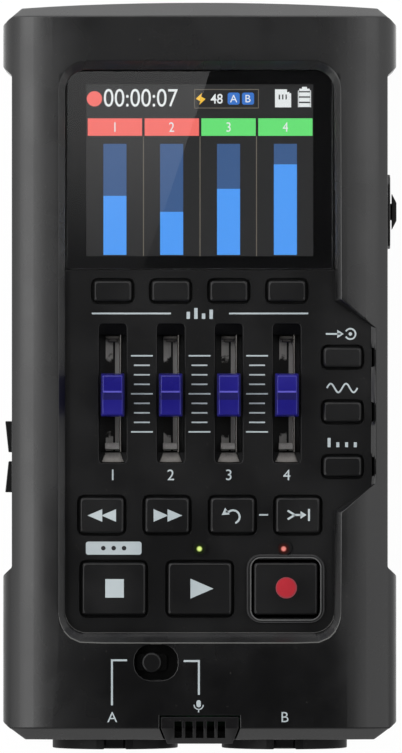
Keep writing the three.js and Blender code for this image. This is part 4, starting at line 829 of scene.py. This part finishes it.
# Keys: hard black caps with a polished chamfer, moulded with their stems and flanges. They press
# on steel domes under the panel; the signs are printed on their tops.
key_plastic = plastic("black key plastic", srgb(13, 13, 14), 0.34, relief_scale=6000, relief_depth=0.004,
                      rubbing_and_highlight=0.45, dusty=0.03, reach=0.3)
KEY_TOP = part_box("stop_key")[1].z / MM
KEY_NAMES = ("input", "effect", "rhythm", "rewind", "forward", "undo", "bounce", "stop", "play", "record")
for name in ["soft_key_" + number for number in "1234"] + [name + "_key" for name in KEY_NAMES]:
    rounded_piece(name, name + "_cap", key_plastic, 0.1)


def key_sign(name, shape, material=print_ink):
    """A sign printed on a key's top, moving with the key."""
    finished_piece(name + "_key_sign", shape, material, name)


for name, places, degrees in (("rewind", (-19.2, -16.68), 180), ("forward", (-7.1, -4.55), 0)):
    arrows = bmesh.new()
    for x in places:
        arrow_head(arrows, x, -25.5, 2.3, 2.7, degrees, KEY_TOP)
    key_sign(name, arrows)
undo_sign = bmesh.new()
line(undo_sign, arc(6.1, -25.75, 1.2, -70, 130, 18) + [(4.75, -24.75)], 0.36, KEY_TOP)
arrow_head(undo_sign, 4.55, -25.05, 1.5, 1.3, 215, KEY_TOP)
key_sign("undo", undo_sign)
bounce_sign = bmesh.new()
line(bounce_sign, [(16.1, -24.6), (17.4, -25.4), (18.6, -25.4)], 0.36, KEY_TOP)
line(bounce_sign, [(16.1, -26.2), (17.4, -25.4)], 0.36, KEY_TOP)
arrow_head(bounce_sign, 19.0, -25.4, 1.4, 1.1, 0, KEY_TOP)
slab(bounce_sign, 20.0, -25.4, 0.36, 2.2, KEY_TOP)
key_sign("bounce", bounce_sign)
key_sign("stop", drawn(slab, -15.6, -38.85, 3.4, 3.4, KEY_TOP))
key_sign("play", drawn(arrow_head, 0.4, -38.9, 3.65, 4.2, 0, KEY_TOP))
rim_red = clean_plastic("record sign rim", srgb(140, 52, 62), 0.5)
key_sign("record", drawn(disc, 15.85, -38.75, 1.95, KEY_TOP), rim_red)
record_heart = drawn(disc, 15.82, -38.72, 1.72, KEY_TOP + INK, thickness=INK / 2)
record_red = clean_plastic("record sign red", srgb(172, 30, 44), 0.45)
finished_piece("record_heart", record_heart, record_red, "record")

# Faders: four slide potentiometers in near-black steel channels, each with a resistance strip
# between two tracks, a guide rod and end stops. The blue caps push on to the levers from outside.
# The caps' edges are paled strongly: a painted highlight along their rims, besides rubbing.
fader_blue = plastic("blue cap plastic", srgb(22, 17, 114), 0.3, relief_scale=5000, relief_depth=0.003,
                     rubbing_and_highlight=0.9, dusty=0.03, gloss=0.5, reach=0.35)
fader_painted_shade = clean_plastic("blue cap plastic with painted shade in the step", srgb(11, 7, 80), 0.4)
fader_edge_highlight = clean_plastic("pale blue painted edge highlight", srgb(84, 80, 176), 0.35)
slit_black = plastic("black resistance strip", srgb(9, 9, 10), 0.5, relief_depth=0.002, rubbing_and_highlight=0, dusty=0.1)
channel_black = clean_plastic("near-black channel steel", srgb(5, 5, 6), 0.5, 0.004, gloss=0.2)
SLOT_Y, SLOT_LENGTH = -3.155, 25.51
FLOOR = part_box("fader_frame_1")[0].z / MM + 0.8
FRAME_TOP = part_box("fader_frame_1")[1].z / MM


def plated(title, steel, dark, light):
    """A copy of a steel with two tones of its own."""
    finish = steel.copy()
    finish.name = title
    tones = finish.node_tree.nodes["Principled BSDF"].inputs["Base Color"].links[0].from_node
    tones.inputs[6].default_value, tones.inputs[7].default_value = dark, light
    return finish


dull_steel = plated("dull stop steel", module_steel, srgb(92, 90, 88), srgb(122, 119, 116))
track_steel = plated("bright track plating", module_steel, srgb(176, 173, 170), srgb(206, 203, 200))
track_steel.node_tree.nodes["Principled BSDF"].inputs["Metallic"].default_value = 0.3
# A dark band along the middle of the left track, about where the cap rests, with a ragged edge: a painted
# shadow of the cap.
track_steel_with_cap_shadow = track_steel.copy()
track_steel_with_cap_shadow.name = "track steel with painted cap shadow"
tree = track_steel_with_cap_shadow.node_tree
steel_colour = tree.nodes["Principled BSDF"].inputs["Base Color"]
ragged = reckon(tree, "MULTIPLY", placed_group(tree, grain, Mottle_Scale=700)["Mottle"], 0.0016)
reach = reckon(tree, "ABSOLUTE", reckon(tree, "ADD", axes(tree)["Y"], 0.0038))
painted_cap_shadow = fade(tree, reckon(tree, "ADD", reach, ragged), 0.0074, 0.0084, 1, 0)
feed(tree, mixed(tree, painted_cap_shadow, steel_colour.links[0].from_socket, srgb(16, 14, 12)), steel_colour)
CAP_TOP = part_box("fader_cap_1")[1].z / MM
HIGHLIGHT_THICKNESS = 0.04
ROD_RADIUS, ROD_LENGTH = 0.25, 21.6
ALONG_Y = Matrix.Rotation(math.pi / 2, 4, "X")
for number, x in zip("1234", CHANNELS):
    rounded_piece("fader_frame_" + number, "fader_channel_" + number, channel_black, 0.08)
    rod_middle = Matrix.Translation((x + 1.45, SLOT_Y, (FLOOR + FRAME_TOP) / 2)) @ ALONG_Y
    rod = drawn(bar, ROD_RADIUS, ROD_LENGTH, rod_middle)
    finished_piece("fader_rod_" + number, rod, dull_steel, smooth=True)
    strip = drawn(slab, x, SLOT_Y, 5.0, SLOT_LENGTH - 4.2, FLOOR + 0.02, 0.06)
    finished_piece("fader_strip_" + number, strip, slit_black)
    for offset, wide, title, steel in ((-0.65, 1.35, "left", track_steel_with_cap_shadow),
                                       (0.85, 0.9, "right", track_steel)):
        track = drawn(slab, x + offset, SLOT_Y, wide, SLOT_LENGTH - 4.4, FLOOR + 0.1, 0.14)
        finished_piece("fader_track_" + title + "_" + number, track, steel)
    upper_stop = drawn(slab, x, SLOT_Y + 10.25, 2.6, 0.7, FLOOR + 0.1, 1.7)
    slab(upper_stop, x, SLOT_Y + 9.75, 1.7, 0.7, FLOOR + 0.1, 1.2)
    soften(upper_stop, upper_stop.edges[:], 0.1)
    finished_piece("fader_upper_stop_" + number, upper_stop, dull_steel, smooth=True)
    lower_stop = bmesh.new()
    lean = Matrix.Translation((x - 0.1, SLOT_Y - 9.7, FLOOR + 1.3)) @ Matrix.Rotation(-0.36, 4, "X")
    bmesh.ops.create_cube(lower_stop, size=1, matrix=lean @ Matrix.Diagonal((2.7, 1.3, 0.4, 1)))
    soften(lower_stop, lower_stop.edges[:], 0.12)
    finished_piece("fader_lower_stop_" + number, lower_stop, track_steel, smooth=True)
    ramp = bmesh.new()
    high, low = FRAME_TOP - 0.8, FRAME_TOP - 1.6
    outer, inner = SLOT_Y - SLOT_LENGTH / 2 + 0.1, SLOT_Y - SLOT_LENGTH / 2 + 1.95
    corners = [(x - 2.15, outer, high), (x + 2.15, outer, high)]
    corners += [(x + 1.4, inner, low), (x - 1.4, inner, low)]
    plate = ramp.faces.new([ramp.verts.new(corner) for corner in corners])
    tops = thicken(ramp, [plate], (0, 0, 0.25))
    soften(ramp, [e for e in ramp.edges if all(v in tops for v in e.verts)], 0.12)
    finished_piece("fader_end_plate_" + number, ramp, dull_steel, smooth=True)
    cap = merged_copy("fader_cap_" + number)
    for point in cap.verts:
        if point.co.z > CAP_TOP - 0.02:
            point.co.z -= HIGHLIGHT_THICKNESS
    grip = rounded_piece("fader_cap_" + number, "fader_grip_" + number, fader_blue, 0.2, 3,
                         shape=cap)
    # The step's sloping faces take a darker blue: painted shade.
    grip.data.materials.append(fader_painted_shade)
    for face in grip.data.polygons:
        if face.normal.z > 0.8 and face.normal.y < -0.2 and face.center.y > -0.006:
            face.material_index = 1
    # A pale blue strip along the top edge of the step is a painted highlight.
    edge_highlight_strip = drawn(slab, x, -2.83, 3.35, 0.3, CAP_TOP - HIGHLIGHT_THICKNESS, HIGHLIGHT_THICKNESS)
    finished_piece("fader_edge_highlight_" + number, edge_highlight_strip, fader_edge_highlight, body_of("fader_cap_" + number))

# Indicator lights: a clear bar carries the light of two diodes up to small smoked lenses, green
# over the play key and red over the record key.
pipe_clear, tree, surface = material_of("clear light pipe", Transmission_Weight=0.9, IOR=1.49)
haze = placed_group(tree, grain, Scale=4000)
tint(tree, surface, haze["Mottle"], srgb(205, 210, 206), srgb(225, 228, 224))
vary_roughness(tree, surface, haze["Height"], 0.2, 0.35)
rounded_piece("light_pipe", "light_bar", pipe_clear, 0.08)
LIGHT_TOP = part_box("light_pipe")[1].z / MM
LIGHTS = (("green", 0, -0.06, srgb(230, 255, 142), srgb(17, 29, 0)),
          ("red", 15.6, 15.37, srgb(240, 140, 130), srgb(50, 8, 2)))
LENS_BLACK = (0.002, 0.002, 0.002, 1)
for title, x, glow_x, core, skirt in LIGHTS:
    lens = drawn(disc, x, -31.4, 1.3, LIGHT_TOP, 0.05)
    glow_lens = clean_plastic(title + " lens", LENS_BLACK, 0.4, 0.002, gloss=0.1)
    tree = glow_lens.node_tree
    surface = tree.nodes["Principled BSDF"]
    surface.inputs["Emission Strength"].default_value = 1
    centred = node(tree, "Mapping", Vector=place_on(tree),
                   Location=(-glow_x * MM, 31.62 * MM, -LIGHT_TOP * MM)).outputs["Vector"]
    away = reckon(tree, "LENGTH", centred, kind="VectorMath")
    heart = fade(tree, away, 0.22 * MM, 0.62 * MM)
    rim_fade = fade(tree, away, 0.6 * MM, 1.25 * MM)
    tint(tree, surface, heart, core, mixed(tree, rim_fade, skirt, srgb(17, 17, 18)), "Emission Color")
    finished_piece("light_lens_" + title, lens, glow_lens)

# Input selector: a round slide button in a sunk oval, between the two marked positions.
selector_plastic = plastic("black selector plastic", srgb(7, 7, 8), 0.4, relief_depth=0.004, dusty=0,
                           gloss=0.3)
selector_button = rounded_piece("selector_knob", "selector_button", selector_plastic, 0.16)
# The button's lower faces, down in the oval, take the matte black: painted shade.
selector_button.data.materials.append(painted_shade_black)
shutter_foot, shutter_top = (corner.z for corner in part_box("selector_knob"))
for face in selector_button.data.polygons:
    if shutter_foot + 0.5 * MM < face.center.z < shutter_top - 1.6 * MM:
        face.material_index = 1

# Microphone: a bent slotted grille clipped into the lower bevel, black foam behind it and the
# capsule in its own well.
grille_plastic = plastic("grille plastic", srgb(13, 12, 14), 0.4, rubbing_and_highlight=0.3, gloss=0.3)
rounded_piece("mic_grille", "grille_plate", grille_plastic, 0.1)
foam = drawn(slab, 0, -63.85, 13.4, 2.5, 30.45, 0.5)
foam_black = plastic("black foam", srgb(12, 12, 12), 0.95, relief_scale=2500, relief_depth=0.12, rubbing_and_highlight=0)
finished_piece("grille_foam", foam, foam_black)
rounded_piece("mic_capsule", "capsule_can", module_steel, 0.15)

# Input jacks: glass-filled nylon bodies with a round collar, a ring groove for the plug's shell,
# three contact holes and a centre bore. A sprung latch tab sits in the top of each collar, and a
# gold-plated contact a little way inside each of the three holes.
jack_nylon = plastic("black jack nylon", srgb(7, 7, 8), 0.42, relief_scale=4000, relief_depth=0.006,
                     rubbing_and_highlight=0.35, gloss=0.15)
contact_gold = plated("gold-plated brass", module_steel, srgb(198, 152, 74), srgb(228, 184, 102))
CONTACT_RING, CONTACT_RADIUS, CONTACT_LENGTH = 5.4, 1.1, 8
CONTACT_WALL, CONTACT_BORE, CONTACT_MIDDLE = 0.25, 6, 5
for side in "ab":
    rounded_piece("combo_jack_" + side, "jack_body_" + side, jack_nylon, 0.2)
    rounded_piece("release_tab_" + side, "latch_tab_" + side, jack_nylon, 0.15)
for side, x in (("a", -15.6), ("b", 15.6)):
    jack_low, jack_high = (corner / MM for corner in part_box("combo_jack_" + side))
    for number, degrees in ((1, 30), (2, 150), (3, 270)):
        turn = math.radians(degrees)
        out = Vector((math.cos(turn), 0, math.sin(turn))) * CONTACT_RING
        middle = Vector((x, jack_low.y + CONTACT_MIDDLE, (jack_low.z + jack_high.z) / 2)) + out
        contact = drawn(bar, CONTACT_RADIUS, CONTACT_LENGTH, Matrix.Translation(middle) @ ALONG_Y)
        mouth = [f for f in contact.faces if f.normal.y < -0.9]
        bmesh.ops.inset_region(contact, faces=mouth, thickness=CONTACT_WALL)
        thicken(contact, mouth, (0, CONTACT_BORE, 0))
        bmesh.ops.recalc_face_normals(contact, faces=contact.faces)
        finished_piece(f"jack_contact_{side}_{number}", contact, contact_gold, smooth=True)

# Side controls: the sliding power switch with its fixed surround, two wedge-shaped volume
# buttons, the data and headphone sockets and the card flap with its moulded hinge edge.
rounded_piece("power_plate", "switch_surround", case_plastic, 0.15)
rounded_piece("power_knob", "switch_slider", key_plastic, 0.12)
rounded_piece("volume_up_button", "volume_up_wedge", key_plastic, 0.15)
rounded_piece("volume_down_button", "volume_down_wedge", key_plastic, 0.15)
rounded_piece("usb_socket", "data_socket", module_steel, 0.05)
rounded_piece("phones_jack", "headphone_socket", jack_nylon, 0.1)
rounded_piece("card_door", "card_flap_cover", case_plastic, 0.12)

# Boards: green solder mask over glass fibre, with copper under the mask.
board_green, tree, surface = material_of("green circuit board")
runs = node(tree, "TexBrick", Vector=place_on(tree), Scale=350, Mortar_Size=0.06).outputs["Fac"]
tint(tree, surface, runs, srgb(18, 66, 40), srgb(34, 96, 58))
vary_roughness(tree, surface, runs, 0.35, 0.5)
rounded_piece("main_board", "main_circuit_board", board_green, 0.08)
rounded_piece("input_board", "input_circuit_board", board_green, 0.08)

# Battery cover, cells and contacts: the cover slides off the end on two tongues; four cells lie
# across the case between nickel strips with a dome for each.
rounded_piece("battery_cover", "battery_lid", case_plastic, 0.15)
sleeve, tree, surface = material_of("printed cell sleeve")
bare = reckon(tree, "GREATER_THAN", reckon(tree, "ABSOLUTE", axes(tree)["X"]), 23.6 * MM)
scuffs = placed_group(tree, grain, Scale=2000, Mottle_Scale=200)
sleeve_colour = mixed(tree, scuffs["Mottle"], srgb(58, 68, 80), srgb(70, 80, 92))
tint(tree, surface, bare, sleeve_colour, srgb(170, 170, 172))
feed(tree, bare, surface.inputs["Metallic"])
vary_roughness(tree, surface, scuffs["Height"], 0.25, 0.4)
for number in "1234":
    rounded_piece("battery_cell_" + number, "cell_" + number, sleeve, 0.5, rounds=3)
for side in ("left", "right"):
    rounded_piece("battery_contacts_" + side, "contact_strip_" + side, module_steel, 0.06)

# Screws and feet: cross-head screws sunk in the back, and soft rubber feet glued into pockets.
foot_rubber = plastic("black rubber", srgb(20, 20, 21), 0.85, relief_scale=1800, relief_depth=0.01,
                      rubbing_and_highlight=0.3)
for number in "1234":
    rounded_piece("case_screw_" + number, "cross_head_screw_" + number, module_steel, 0.08)
    rounded_piece("foot_" + number, "rubber_foot_" + number, foot_rubber, 0.25, rounds=3)
